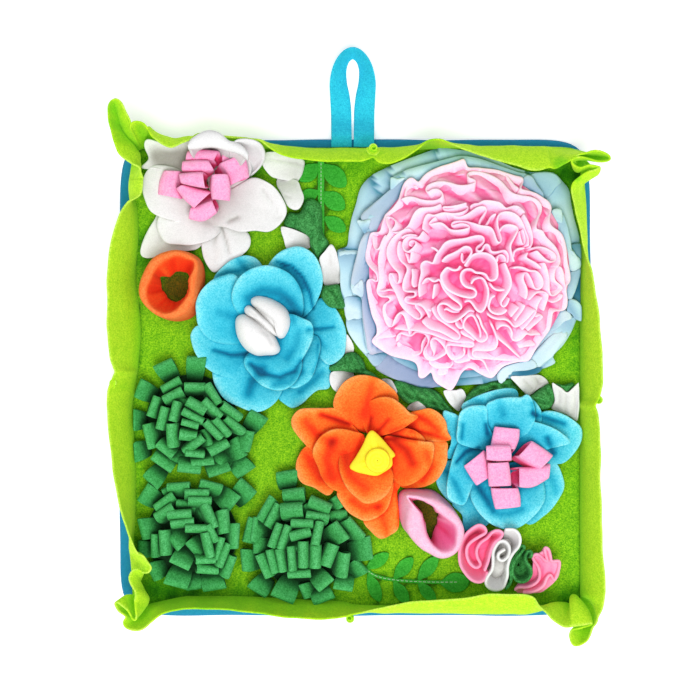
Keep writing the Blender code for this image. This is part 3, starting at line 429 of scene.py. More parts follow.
def build_pad():
    """The padded backing: a crowned slab with a soft, slightly uneven edge."""
    half = (225.0, 227.5)
    squareness = 0.13
    waver = 0.0022
    count = 288
    outline = []
    for k in range(count):
        turn = 2 * math.pi * k / count
        outline.append([math.copysign(abs(way) ** squareness, way) * size
                        for way, size in zip((math.cos(turn), math.sin(turn)), half)])
    outline = resample(outline, count, closed=True)
    uneven = np.array([1.0 - waver * (1 + wave(1, 0.22 * k)) for k in range(count)])
    profile = (
        # share of the way out, height
        (0.0, 8.0), (0.3, 8.0), (0.6, 8.0), (0.85, 7.9), (0.935, 7.7), (0.97, 7.0), (0.990, 5.8),
        (1.0, 4.0), (0.990, 1.9), (0.97, 0.5), (0.935, 0.0), (0.6, 0.0), (0.3, 0.0), (0.0, 0.0),
    )
    cloth = Cloth()
    cloth.add([np.column_stack([outline * max(share, 0.02) * uneven[:, None], np.full(count, height)])
               for share, height in profile], closed=True)
    cloth.cap(range(count))
    cloth.cap(range(len(cloth.points) - 1, len(cloth.points) - 1 - count, -1))
    item = cloth.build("pad", smooth=0)
    dress(item, "backing_pad", PAD_BLUE)


WELLS = (
    # places of the floor that only little light reaches: u, v, radius
    (176.5, 287.0, 19.0), (427.0, 512.0, 19.0), (440.0, 530.0, 16.0),
)
FLOOR_SHADES = (
    # painted shade at the feet of the walls, in corners and under pieces: place in the frame, reach, how
    # much darker
    (155, 590, 11, 0.95), (172, 594, 12, 0.95), (192, 595, 12, 0.85), (215, 594, 10, 0.35),
    (238, 595, 11, 0.50), (262, 596, 11, 0.90), (285, 599, 11, 0.90), (308, 600, 10, 0.95),
    (330, 601, 9, 0.50), (305, 160, 14, 0.55), (330, 162, 14, 0.40), (355, 163, 12, 0.40),
    (575, 178, 10, 1.00), (565, 172, 10, 1.00), (580, 190, 7, 0.80), (574, 350, 4, 0.55),
    (574, 365, 4, 0.55), (575, 338, 4, 0.45), (143, 240, 9, 0.60), (142, 262, 8, 0.60),
    (204, 268, 8, 0.80), (330, 372, 10, 0.60), (128, 440, 8, 0.50), (127, 500, 8, 0.50),
    (240, 500, 9, 0.45), (566, 598, 9, 0.70), (580, 590, 7, 0.60), (485, 515, 10, 0.70),
    (372, 505, 7, 0.70), (258, 168, 8, 0.60),
)


def inside_corner(x, y, xs, ys, corner=13.0):
    """Keep a point of the panel within its rounded corners."""
    middle = np.array((xs[0] + xs[-1], ys[0] + ys[-1])) / 2
    straight = np.array((xs[-1] - xs[0], ys[-1] - ys[0])) / 2 - corner
    away = np.array((x, y)) - middle
    over = np.maximum(np.abs(away) - straight, 0.0)
    far = np.hypot(*over)
    if far <= corner:
        return x, y
    return tuple(middle + np.sign(away) * (straight + over * corner / far))


def build_panel():
    """The fleece floor, which waves a little and turns up into the fence at its border."""
    count = 76
    xs = np.linspace(-211.5, 215.5, count)
    ys = np.linspace(-217.5, 218.5, count)
    height, turned_up = 9.3, 0.8
    border, bend = 13.0, 5.0
    still = 20.0
    rows = []
    tones = []
    shaded = []
    wells = [(place(u, v, SEWN)[:2], radius) for u, v, radius in WELLS]
    shades = [(place(u, v, SEWN)[:2], radius, dark) for u, v, radius, dark in FLOOR_SHADES]
    for y in ys:
        row = []
        tone = []
        for x in xs:
            deep = max(math.exp(-(math.dist((x, y), spot) / radius) ** 6) for spot, radius in wells)
            shade = max(dark * math.exp(-(math.dist((x, y), spot) / reach) ** 2)
                        for spot, reach, dark in shades)
            # Painted shade: the floor is darkened in the wells and at the floor shades, and shaded points
            # take the shade tint.
            tone.append((1.0 - deep) * (1.0 - 0.72 * shade))
            shaded.append(shade)
            edge = min(x - xs[0], xs[-1] - x, y - ys[0], ys[-1] - y)
            lift = 0.45 * wave(3, 0.035 * x + 0.02 * y) * wave(5, 0.041 * y - 0.013 * x)
            lift *= min(1.0, edge / still)
            rise = turned_up * min(1.0, max(0.0, (border - edge) / bend))
            row.append((*inside_corner(x, y, xs, ys), height + lift + rise))
        rows.append(row)
        tones.append(tone)
    cloth = Cloth()
    cloth.add(rows, tone=tones)
    cloth.shade_tint_amounts = dict(enumerate(shaded))
    item = cloth.build("floor_panel", THICKNESS["panel"], smooth=0)
    dress(item, "top_panel", LIME_SHADED_FLOOR)


FOOT_LEFT = -210.0
FOOT_RIGHT = 214.0
FOOT_FRONT = -216.0
FOOT_BACK = 217.0
FOOT_CORNER = 10.0
# Walls: millimetres along the wall, how far the foot, the middle and the rim lean outwards, rise.
FRONT_ROWS = (
    # along, foot, middle, rim, rise
    (46, -8, -5, -3.6, 41), (58, -8.5, -6, -4.8, 41), (77, -8.5, -6, -4.8, 41),
    (95, -8.5, -5.5, -3.4, 41), (113, -8, -4.5, -1.6, 41), (132, -7, -3, 1.2, 41),
    (150, -6, -1.5, 3.5, 41), (168, -5, -0.5, 4.6, 42),
    (187, -4.5, 0, 4.8, 40), (201, -3, 0, 3.5, 38), (204, -2, 0, 2, 37), (208, -1, 1, 0.5, 38),
    (220, 0, 1.5, -1.5, 39), (242, 0, 2.5, -7.5, 41), (262, 0, 3, -11, 40), (279, 0, 3, -12.5, 40),
    (305, 0, 3, -14, 41), (332, 0, 3.5, -18.5, 41), (352, 0, 3.5, -18.5, 41), (372, 0, 3, -17, 42),
)
RIGHT_ROWS = (
    (24, 0, 4, 16, 42), (44, 0, 4, 14.5, 41), (67, 0, 3.5, 13, 40), (95, 0, 3, 12.5, 41),
    (122, 0, 3, 11, 41), (150, 0, 3, 11.5, 41), (176, 0, 2, 10, 40), (186, 0, 1.5, 9, 38),
    (191, -1, -1, 8, 37), (197, 0, 2, 10.5, 38), (212, 0, 4, 13.5, 40), (233, 0, 4, 13, 42),
    (255, 0, 3, 11.5, 41), (270, 0, 3, 10.5, 41), (293, 0, 2, 7, 41), (316, 0, 2, 3, 40),
    (332, 0, 2, -2.5, 41), (345, 0, 2, -6.5, 41),
)
BACK_ROWS = (
    (36, -3.5, -2.3, -24, 42), (50, -3.5, -2.3, -26.5, 43), (66, -3, -1.8, -22, 42),
    (82, -2.5, -1, -17, 42), (99, -1.5, -0.8, -12, 41), (113, 0, 1, -6.5, 41), (126, 0, 1.5, -1.5, 42),
    (137, 0, 2, 2.6, 42), (148, 0, 1.5, 1.5, 42), (159, -1, -0.5, -8.5, 41), (171, -2, -2, -15.5, 41),
    (183, -2.5, -3, -19.5, 40), (192, -2.5, -3.5, -19, 39), (197, -2.5, -4, -13.5, 38),
    (203, -2.5, -3.5, -15.5, 38), (215, -3, -3.5, -17.5, 40), (237, -3, -3.5, -17.5, 41),
    (256, -3, -3, -16.5, 41), (274, -2, -1.5, -13.5, 41), (288, -1, 0.5, -8.5, 41), (295, 0, 2, -3, 40),
    (302, 0, 4, 2.5, 39), (316, 0, 4.5, 4, 39), (332, 0, 4.5, 5.5, 40), (346, 0, 4.5, 7.5, 41),
    (357, 0, 3, 8.2, 42), (366, 0, 8, 2.3, 42), (374, 0, 7.5, -1, 42), (383, 0, 6.5, -5.5, 43),
    (390, 0, 8, -3.2, 43), (395, 0, 10, 0.9, 44), (400, 0, 12.5, 4.6, 44),
)
LEFT_ROWS = (
    (34, 0, 0.5, -15.5, 42), (47, -1, 0, -14, 42), (53, -2, 0, -4, 41), (58, -3, 0, 1.5, 41),
    (71, -4, 1, 8.5, 41), (89, -4, 3, 14, 41), (117, -1.5, 6, 18, 40), (142, -4, 5.5, 17.8, 41),
    (165, -6.5, 5, 18, 41), (181, -6.5, 4.5, 17.5, 41), (196, -5, 4, 15.5, 40), (207, -4, 3, 13, 38),
    (211, -3, 0, 12, 37), (216, -2.5, 3, 14, 38), (226, -1.5, 5.5, 17, 40), (238, 1, 7, 18, 41),
    (255, 1.5, 7, 17.5, 41), (283, -1, 5.5, 14.5, 41), (311, -1.5, 3.5, 11, 41), (334, -1.5, 2, 6, 42),
    (352, -1, 0.5, 1, 42), (366, 0, 0, -5, 42), (378, 0, 0, -11, 42),
)
# Ears: places of the rim and of the middle of the wall in the frame, and the rise of the rim.
FRONT_RIGHT_EAR = (
    # u, v, u of middle, v of middle, rise
    (538, 604, 545, 607, 43), (545, 612, 551, 603, 44), (551, 619, 558, 604, 45),
    (557, 623.5, 563, 607, 45), (563, 626.5, 568, 610, 46), (569, 627, 571, 606, 46),
    (573, 627, 570, 598, 46), (579, 626.5, 575, 596, 46), (586, 625.5, 581, 601, 46),
    (592, 624, 587, 609, 45), (588, 626.5, 585, 614, 44), (578, 629, 580, 618, 44),
    (571, 630.5, 577, 620, 45), (568.5, 637, 580, 622, 46), (572, 645, 584, 624, 46),
    (579, 645.5, 588, 622, 46), (586, 641, 591, 618, 46), (590, 634, 593, 614, 46),
    (592, 629, 595, 609, 45), (596.5, 623, 594, 605, 45), (598, 618, 592, 601, 44),
    (601, 611, 590, 599, 43), (604, 603, 588, 597, 43), (605, 595, 587, 593, 42),
)
BACK_RIGHT_EAR = (
    (580, 228, 586, 226, 42), (575.5, 212, 584, 211, 42), (572, 196, 582, 198, 42),
    (571, 189, 581, 191, 42), (573, 183, 583, 185, 43), (578, 177.5, 586, 181, 43),
    (583, 173.5, 590, 178, 44), (589, 170.5, 594, 175, 45), (595, 169, 596, 173, 45),
    (600, 167, 596, 170, 45), (597, 165.5, 590, 170, 44), (591, 164.7, 585, 169, 43),
    (586, 165.5, 580, 170, 43), (581, 167.5, 577, 171, 43), (576, 166.5, 575, 170, 43),
    (572.5, 164, 574, 167, 43), (571.5, 160.5, 574, 163, 44), (575, 157.7, 577, 160, 45),
    (581, 157, 583, 160, 45), (588, 158.8, 588, 160, 45), (596, 160.5, 594, 160, 46),
    (604, 161.5, 599, 159, 47), (609, 160, 601, 158, 47), (609.5, 157, 601, 157, 47),
    (606, 153, 597, 156, 46), (600, 150.5, 592, 155, 46), (593, 151, 586, 155, 45),
    (586, 153.5, 579, 153, 44), (579, 155, 572, 153, 44), (572, 159, 564, 152.5, 43),
    (565, 164, 556, 152, 43), (555, 169.5, 548, 151, 42),
)
BACK_LEFT_EAR = (
    (149, 131, 149, 128, 44), (146.5, 127, 147, 133, 45), (143, 123.5, 143, 133, 46),
    (138, 121.5, 139, 134, 47), (133, 122, 137, 136, 47), (130.5, 126, 136, 138, 46),
    (131, 130.5, 137, 141, 45), (131, 122, 132, 138, 46), (127, 113.5, 127, 134, 48),
    (123.5, 106, 122, 127, 50), (120, 101, 119.5, 118, 51), (116, 98.8, 118, 112, 51),
    (111, 101, 118, 113, 51), (108, 107, 119, 119, 51), (108.5, 116, 120, 127, 50),
    (110.5, 128, 124, 135, 48), (113.5, 142, 130, 142, 47), (117.5, 151.5, 136, 148, 46),
    (123, 158, 139, 152, 45), (129, 162, 140, 157, 44), (134, 165, 140, 162, 43),
    (139, 167.5, 140, 166, 43), (141, 172, 135, 173, 42), (144, 178, 132, 179, 42),
)
FRONT_LEFT_EAR = (
    (144, 557, 134, 557, 42), (149, 563.5, 136, 562, 43), (152, 568, 138, 565, 43),
    (150, 572.5, 141, 570, 43), (146, 573.5, 143, 573, 43), (142, 572, 142, 576, 43),
    (138, 569, 141, 578, 44), (133, 569.5, 140, 580, 44), (129.5, 573.5, 141, 583, 45),
    (128.5, 578, 143, 586, 45), (131, 584, 145, 590, 45), (134, 589.5, 147, 594, 45),
    (135, 595, 149, 598, 45), (134, 601, 148, 603, 45), (134.5, 608, 145, 608, 45),
    (136.5, 615, 142, 612, 45), (136, 620, 138, 612, 45), (133, 620, 134, 609, 45),
    (130, 615, 131, 603, 45), (127, 610, 130, 598, 45), (122, 605.5, 130, 594, 46),
    (117, 602.8, 130, 594, 46), (114.5, 604, 129, 599, 46), (118, 610.5, 129, 605, 46),
    (124, 614, 131, 610, 46), (126, 617, 134, 614, 46), (123, 621, 137, 617, 46),
    (124, 626, 139, 618, 46), (130, 630, 142, 618, 47), (137, 630.5, 146, 616, 46),
    (145, 627.5, 150, 613, 46), (152, 621.5, 153, 610, 45), (160, 615.5, 158, 608, 44),
    (169, 611, 167, 606, 43),
)
FENCE_SHADES = (
    # painted shade on the fence's walls and ears: place in the frame, reach, how much darker
    (111, 110, 9, 0.85), (115, 126, 10, 0.85), (120, 141, 10, 0.70), (127, 127, 5, 0.55),
    (141, 129, 7, 0.80), (148, 133, 6, 0.60), (176, 606, 18, 0.80), (205, 602, 20, 0.85),
    (235, 601, 20, 0.85), (265, 604, 20, 0.85), (295, 607, 20, 0.80), (325, 609, 16, 0.70),
    (346, 608, 10, 0.60), (300, 151, 20, 0.55), (330, 153, 20, 0.50), (355, 153, 14, 0.55),
    (372, 156, 9, 0.70), (392, 156, 12, 0.50), (430, 146, 12, 0.85), (560, 166, 11, 0.95),
    (573, 176, 9, 0.95), (587, 158, 6, 0.70), (600, 160, 5, 0.65), (123, 620, 6, 0.60),
    (140, 605, 5, 0.70), (352, 611, 5, 0.50), (596, 402, 6, 0.55), (118, 386, 6, 0.55),
    (590, 600, 7, 0.50), (577, 636, 6, 0.60),
)


def fence_table():
    """Foot, middle and rim of the fence, counter-clockwise from the front left corner, in millimetres."""
    left, right = FOOT_LEFT + FOOT_CORNER, FOOT_RIGHT - FOOT_CORNER
    front, back = FOOT_FRONT + FOOT_CORNER, FOOT_BACK - FOOT_CORNER
    table = []

    def side(rows, x, y, along_x, along_y):
        """A wall that runs from a corner in one direction."""
        for along, foot, middle, rim, rise in rows:
            row = []
            for out in (foot, middle, rim):
                row += [x + along_x * along + along_y * out, y + along_y * along - along_x * out]
            table.append((*row, rise))

    def ear(rows, x, y, start):
        """A folded corner: its foot goes a quarter turn, its middle and rim are traced."""
        for index, (u, v, middle_u, middle_v, rise) in enumerate(rows):
            turn = math.radians(start + 90.0 * (index + 0.5) / len(rows))
            middle = place(middle_u, middle_v, SEWN + rise / 2)
            rim = place(u, v, SEWN + rise)
            table.append((x + FOOT_CORNER * math.cos(turn), y + FOOT_CORNER * math.sin(turn),
                          middle[0], middle[1], rim[0], rim[1], rise))

    side(FRONT_ROWS, FOOT_LEFT, FOOT_FRONT, 1, 0)
    ear(FRONT_RIGHT_EAR, right, front, -90)
    side(RIGHT_ROWS, FOOT_RIGHT, FOOT_FRONT, 0, 1)
    ear(BACK_RIGHT_EAR, right, back, 0)
    side(BACK_ROWS, FOOT_RIGHT, FOOT_BACK, -1, 0)
    ear(BACK_LEFT_EAR, left, back, 90)
    side(LEFT_ROWS, FOOT_LEFT, FOOT_BACK, 0, -1)
    ear(FRONT_LEFT_EAR, left, front, 180)
    return table


def build_fence():
    """The standing fence, one strip of fleece with its foot sewn down and its rim left free."""
    stations = curve(fence_table(), 3, closed=True)
    shades = [(place(u, v, 45)[:2], reach, dark) for u, v, reach, dark in FENCE_SHADES]
    foot = SEWN + 1.0
    levels = (0.0, 0.08, 0.2, 0.36, 0.53, 0.7, 0.85, 0.95, 1.0)
    rows = []
    tones = []
    count = len(stations)
    rims = stations[:, 4:6]
    ahead = np.roll(rims, -2, axis=0) - np.roll(rims, 2, axis=0)
    ahead /= np.maximum(np.linalg.norm(ahead, axis=1, keepdims=True), 1e-6)
    out = np.column_stack([ahead[:, 1], -ahead[:, 0]])
    length = np.concatenate([[0.0], np.cumsum(np.linalg.norm(np.diff(rims, axis=0), axis=1))])
    for level in levels:
        first = (1 - level) * (1 - 2 * level)
        second = 4 * level * (1 - level)
        third = level * (2 * level - 1)
        spots = first * stations[:, 0:2] + second * stations[:, 2:4] + third * stations[:, 4:6]
        swell = math.sin(math.pi * level)
        row = []
        tone = []
        for index in range(count):
            far = length[index]
            dent = wave(7, far / 9.0) * wave(12, far / 31.0)
            ripple = 0.55 * level * wave(9, far / 5.5) + 1.1 * swell * dent
            spot = spots[index] + out[index] * ripple
            lift = 0.5 * level * wave(4, far / 11.0)
            row.append((spot[0], spot[1], foot + stations[index, 6] * level + lift))
            shade = max(dark * math.exp(-(math.dist(spot, middle) / reach) ** 4)
                        for middle, reach, dark in shades)
            # Painted shade: darker towards the foot of the wall and at the fence shades.
            tone.append(level * (1 - shade))
        rows.append(row)
        tones.append(tone)
    cloth = Cloth()
    cloth.add(rows, closed=True, tone=tones)
    item = cloth.build("fence_cloth", THICKNESS["fence"])
    dress(item, "fence", LIME_LIT_WALL)


LOOP_MIDDLE = -2.2
LOOP_WIDTH = 19.5
LOOP_HALF_ROUTE = (
    # from_middle, y, height, tilt
    (10.6, 219.0, 9.3, 0), (10.7, 226.0, 9.6, 0), (10.7, 231.5, 9.4, 0), (10.8, 237.5, 6.6, 0),
    (10.9, 246.0, 2.6, 0), (11.2, 256.0, 1.2, 4), (12.2, 268.0, 1.0, 18), (13.6, 281.0, 1.0, 35),
    (12.2, 294.0, 1.0, 52), (7.4, 304.0, 1.0, 64),
)
LOOP_TOP = (0.0, 308.2, 1.0, 68)


def build_hanging_loop():
    """The ribbon loop: two flat legs side by side that turn up on edge round the bend."""
    route = [(-row[0], *row[1:]) for row in LOOP_HALF_ROUTE] + [LOOP_TOP, *LOOP_HALF_ROUTE[::-1]]
    route = curve(route, 6)
    across = np.linspace(-1.0, 1.0, 7)
    rows = [[] for _ in across]
    for index, (offset, y, height, tilt) in enumerate(route):
        before = route[max(index - 1, 0)]
        after = route[min(index + 1, len(route) - 1)]
        along = np.array((after[0] - before[0], after[1] - before[1]))
        along /= np.linalg.norm(along)
        outward = np.array((-along[1], along[0], 0.0))
        lift = math.radians(tilt)
        half = LOOP_WIDTH / 2
        middle_height = height + half * math.sin(lift) + 0.25 * wave(2, index * 0.4)
        centre = np.array((LOOP_MIDDLE + offset, y, middle_height))
        tilted = outward * math.cos(lift) + np.array((0, 0, math.sin(lift)))
        for row, share in zip(rows, across):
            row.append(centre + tilted * half * share + np.array((0, 0, 0.35 * (1 - share ** 2))))
    cloth = Cloth()
    cloth.add(rows)
    item = cloth.build("ribbon", THICKNESS["ribbon"], crease=0.6)
    dress(item, "hanging_loop", RIBBON)


# ---------------------------------------------------------------- petals

def disc_grid(count):
    """Rows of a square grid stretched to a unit disc."""
    line = np.linspace(-1.0, 1.0, count)
    a, b = np.meshgrid(line, line)
    return a * np.sqrt(1 - b * b / 2), b * np.sqrt(1 - a * a / 2)


def path_distance(spots, path):
    """Distance of each point of a grid from a polyline, in plan."""
    near = np.full(spots.shape[:-1], 1e9)
    for first, last in zip(path[:-1], path[1:]):
        step = last - first
        share = np.clip(((spots - first) @ step) / max(step @ step, 1e-9), 0.0, 1.0)
        near = np.minimum(near, np.linalg.norm(spots - (first + share[..., None] * step), axis=-1))
    return near


def filled_outline(rim, count):
    """A grid of plan points that fills a closed outline, and how far out each one lies."""
    shift = np.roll(rim, -1, axis=0)
    if (rim[:, 0] * shift[:, 1] - shift[:, 0] * rim[:, 1]).sum() < 0:
        rim = rim[::-1]
    middle = rim.mean(axis=0)
    a, b = disc_grid(count)
    reach = np.sqrt(a * a + b * b)
    angle = (np.arctan2(b, a) / (2 * math.pi)) % 1.0
    start = int(np.argmin(np.abs(np.arctan2(rim[:, 1] - middle[1], rim[:, 0] - middle[0]))))
    rim = np.roll(rim, -start, axis=0)
    spot = angle * len(rim)
    first = np.floor(spot).astype(int) % len(rim)
    share = (spot - np.floor(spot))[..., None]
    edge = rim[first] * (1 - share) + rim[(first + 1) % len(rim)] * share
    return middle + (edge - middle) * reach[..., None], reach, angle


def add_petal(cloth, outline, low, high, cup=0.0, seed=0, ripple=0.6, count=15, crease=0.0,
              strokes=(), steps=6):
    """One petal: an outline in the frame whose first and last points are at its root.

    It rises from low to high, cup bends its rim up, crease presses a line down its middle. strokes
    are creases darkened with painted shade: (path in the frame, half width, depth, how much darker).
    Its colour is painted darker towards the root and lighter at the rim. Gives its length.
    """
    mean = 0.4 * low + 0.6 * high
    spots = plan_of(outline, mean)
    root = (spots[0] + spots[-1]) / 2
    rim = smooth_ring(spots, steps, 120)
    tip = rim[np.argmax(np.linalg.norm(rim - root, axis=1))]
    axis = tip - root
    length = np.linalg.norm(axis)
    axis /= length
    side = np.array((-axis[1], axis[0]))
    half_width = np.abs((rim - root) @ side).max()
    flat, reach, angle = filled_outline(rim, count)
    along = np.clip(((flat - root) @ axis) / length, 0.0, 1.05)
    across = ((flat - root) @ side) / half_width
    height = low + (high - low) * (1 - (1 - np.minimum(along, 1.0)) ** 1.9)
    height += cup * reach ** 2.2 * along
    height -= crease * np.exp(-(across / 0.13) ** 2) * along * (1.1 - along)
    bumps = np.sin(3.1 * across + 1.9 * seed) * np.cos(4.7 * along + 2.3 * seed)
    frill = np.sin(18 * math.pi * angle + seed) * reach ** 3
    height += ripple * bumps * along + 0.6 * ripple * frill * along
    # Painted shade towards the root, painted shade along the creases and a painted highlight on the rim.
    tone = 0.30 + 0.42 * np.clip(along * 1.3, 0.0, 1.0)
    for path, half, depth, dark in strokes:
        near = np.exp(-(path_distance(flat, plan_of(path, mean)) / half) ** 2)
        height -= depth * near
        tone -= 1.1 * dark * near
    tone += 0.28 * np.clip((reach - 0.55) / 0.45, 0.0, 1.0) ** 1.5
    cloth.add(lifted(flat, height), tone=np.clip(tone, 0.0, 1.0))
    return length


WHITE_PETALS = (
    # layer, low, high, cup, crease, outline
    (0, 12.4, 32, 4, 0,
     ((203, 192), (187, 178), (158, 170), (143, 169), (150, 160), (146, 148), (150, 141), (170, 146),
      (187, 141), (200, 150), (206, 185))),
    (0, 12.0, 16, 1, 0,
     ((200, 200), (165, 206), (154, 221), (146, 235), (141, 250), (143, 257), (153, 258), (176, 252),
      (201, 246), (208, 210))),
    (0, 12.6, 18, -2, 4,
     ((203, 200), (200, 220), (201, 240), (204, 258), (213, 272), (224, 267), (240, 257), (250, 246),
      (248, 233), (230, 220), (212, 200))),
    (1, 15.0, 24, 1, 0,
     ((210, 192), (206, 165), (208, 150), (225, 147), (244, 149), (249, 158), (250, 176), (222, 196))),
    (1, 14.0, 23, 2, 0,
     ((200, 198), (172, 204), (159, 218), (159, 232), (167, 243), (180, 245), (194, 245), (212, 239),
      (221, 227), (213, 202))),
    (1, 15.0, 30, 3, 0,
     ((200, 188), (180, 170), (157, 166), (147, 174), (144, 187), (146, 200), (153, 213), (170, 220),
      (190, 221), (206, 205))),
    (1, 16.0, 29, 2, 2,
     ((206, 198), (205, 222), (225, 227), (240, 232), (255, 231), (270, 232), (282, 223), (287, 210),
      (279, 193), (268, 183), (252, 178), (230, 189))),
)
BLUE_A_PETALS = (
    (0, 12.0, 20, 2, 0,
     ((258, 318), (225, 300), (214, 280), (228, 263), (240, 257), (249, 256), (258, 260), (264, 272),
      (262, 300))),
    (0, 12.0, 26, 2, 3,
     ((266, 310), (262, 285), (268, 266), (281, 252), (299, 247), (314, 255), (322, 272), (322, 288),
      (314, 306), (302, 318), (285, 322))),
    (0, 12.0, 19, 1, 3,
     ((285, 322), (300, 305), (313, 303), (323, 298), (336, 309), (345, 327), (346, 342), (343, 356),
      (329, 365), (316, 354), (295, 340))),
    (0, 12.0, 16, 1, 0,
     ((285, 345), (300, 343), (317, 350), (329, 364), (331, 376), (329, 388), (318, 390), (310, 396),
      (303, 403), (293, 408), (285, 404), (277, 396), (272, 375))),
    (0, 12.4, 18, 2, 0,
     ((262, 345), (235, 350), (215, 362), (213, 376), (217, 388), (225, 399), (238, 406), (256, 412),
      (270, 407), (280, 396), (284, 380), (275, 355))),
    (0, 12.8, 23, 2, 0,
     ((255, 338), (225, 325), (200, 325), (192, 333), (192, 341), (197, 355), (207, 368), (222, 376),
      (244, 378), (262, 362))),
    (1, 15.0, 32, 1, 0,
     ((255, 330), (250, 300), (237, 276), (224, 276), (212, 281), (202, 291), (197, 302), (197, 314),
      (199, 326), (207, 337), (219, 343), (238, 344), (256, 338))),
    (1, 14.5, 26, 2, 0,
     ((285, 330), (305, 333), (319, 338), (319, 355), (312, 377), (303, 385), (293, 388), (280, 380),
      (275, 350))),
    (1, 16.0, 38, 2, 0,
     ((258, 322), (240, 315), (232, 300), (236, 284), (247, 272), (266, 266), (285, 271), (297, 282),
      (303, 298), (301, 316), (285, 325))),
    (1, 16.0, 30, 3, 0,
     ((270, 345), (250, 352), (244, 362), (250, 373), (264, 386), (282, 390), (296, 381), (302, 364),
      (298, 345), (280, 335))),
    (1, 19.0, 33, -1, 0,
     ((270, 335), (280, 318), (291, 314), (302, 318), (312, 324), (313, 338), (305, 355), (296, 366),
      (282, 371), (264, 370), (252, 363), (249, 352), (262, 345))),
)
ORANGE_PETALS = (
    (0, 12.0, 28, 2, 0,
     ((362, 432), (345, 420), (334, 408), (335, 396), (343, 383), (354, 376), (366, 375), (380, 379),
      (391, 387), (397, 394), (398, 403), (390, 420), (378, 432))),
    (0, 12.0, 19, 3, 0,
     ((360, 450), (325, 438), (306, 446), (299, 455), (296, 465), (298, 476), (303, 483), (314, 487),
      (329, 495), (340, 480), (362, 458))),
    (0, 12.0, 19, 2, 2,
     ((370, 460), (362, 495), (363, 520), (370, 530), (380, 538), (391, 534), (398, 528), (399, 515),
      (397, 493), (400, 483), (385, 460))),
    (0, 12.5, 24, 2, 0,
     ((380, 452), (400, 436), (432, 440), (446, 441), (447, 452), (446, 463), (438, 478), (426, 486),
      (413, 488), (400, 486), (385, 465))),
    (0, 13.5, 23, 3, 0,
     ((365, 460), (345, 475), (337, 492), (341, 502), (349, 512), (357, 517), (366, 520), (378, 516),
      (387, 508), (391, 497), (393, 480), (380, 460))),
    (0, 14.0, 30, 3, 0,
     ((380, 438), (390, 425), (409, 413), (419, 410), (429, 408), (439, 413), (445, 421), (447, 431),
      (450, 439), (436, 441), (423, 440), (400, 438))),
    (0, 14.0, 28, 3, 3,
     ((365, 440), (352, 424), (344, 414), (335, 408), (323, 408), (304, 408), (297, 411), (292, 418),
      (292, 425), (295, 431), (302, 440), (313, 450), (330, 448), (360, 446))),
    (1, 16.0, 32, 3, 0,
     ((362, 452), (364, 436), (356, 432), (345, 429), (333, 429), (322, 435), (315, 444), (313, 454),
      (318, 466), (322, 477), (330, 487), (339, 492), (350, 494), (364, 470))),
    (1, 17.0, 36, 3, 3,
     ((370, 436), (364, 428), (362, 415), (368, 403), (380, 397), (392, 398), (402, 405), (410, 413),
      (418, 416), (406, 426), (394, 432), (382, 436))),
    (1, 19.0, 31, 0, 0,
     ((382, 443), (390, 432), (402, 428), (416, 431), (425, 441), (408, 444), (392, 445))),
    (1, 19.0, 36, 3, 3,
     ((382, 450), (385, 437), (395, 437), (408, 439), (424, 441), (433, 443), (432, 459), (427, 471),
      (418, 480), (406, 486), (397, 483), (390, 473), (384, 460))),
    (1, 20.0, 38, 4, 0,
     ((370, 452), (364, 437), (352, 437), (344, 444), (340, 453), (339, 465), (342, 477), (348, 488),
      (357, 497), (365, 502), (375, 501), (385, 495), (391, 487), (393, 474), (383, 457))),
)
BLUE_B_PETALS = (
    (0, 12.0, 15, 1, 0,
     ((490, 465), (450, 460), (437, 468), (436, 481), (441, 492), (452, 503), (472, 510), (492, 485))),
    (0, 12.2, 15, 0, 0,
     ((495, 475), (465, 485), (452, 503), (462, 515), (465, 531), (487, 525), (502, 500))),
    (0, 12.5, 20, 1, 0,
     ((512, 470), (538, 456), (554, 461), (562, 476), (563, 489), (554, 505), (543, 516), (527, 524),
      (508, 500))),
    (0, 13.0, 25, 3, 0,
     ((515, 458), (522, 428), (540, 413), (553, 411), (568, 417), (579, 426), (581, 434), (579, 443),
      (573, 453), (564, 462), (554, 464), (530, 464))),
    (0, 13.0, 24, 2, 0,
     ((498, 445), (475, 425), (461, 407), (472, 398), (490, 391), (507, 388), (517, 391), (517, 405),
      (508, 440))),
    (0, 13.5, 27, 1, 0, ((510, 448), (518, 415), (527, 398), (538, 406), (541, 421), (528, 445))),
    (0, 13.5, 26, 1, 4,
     ((482, 458), (455, 459), (446, 456), (451, 441), (444, 425), (443, 411), (450, 412), (458, 416),
      (470, 432), (486, 450))),
    (1, 16.0, 33, 3, 0,
     ((500, 450), (488, 430), (485, 407), (493, 400), (507, 397), (520, 397), (526, 394), (532, 402),
      (534, 421), (518, 445))),
    (1, 16.0, 32, 2, 0,
     ((494, 452), (470, 447), (457, 441), (457, 425), (459, 413), (466, 407), (476, 405), (486, 407),
      (488, 425), (500, 446))),
    (1, 18.0, 34, 2, 0,
     ((508, 455), (498, 434), (504, 424), (518, 420), (536, 422), (553, 428), (566, 437), (568, 443),
      (550, 448), (525, 458))),
    (1, 17.5, 31, 3, 2,
     ((494, 458), (488, 440), (472, 435), (461, 439), (456, 448), (451, 462), (447, 480), (446, 490),
      (449, 499), (463, 504), (470, 490), (474, 482), (490, 466))),
    (1, 16.5, 25, 2, 0,
     ((498, 466), (484, 472), (471, 484), (470, 495), (473, 504), (480, 514), (490, 523), (502, 528),
      (515, 528), (527, 521), (539, 509), (545, 495), (540, 475), (520, 463))),
)
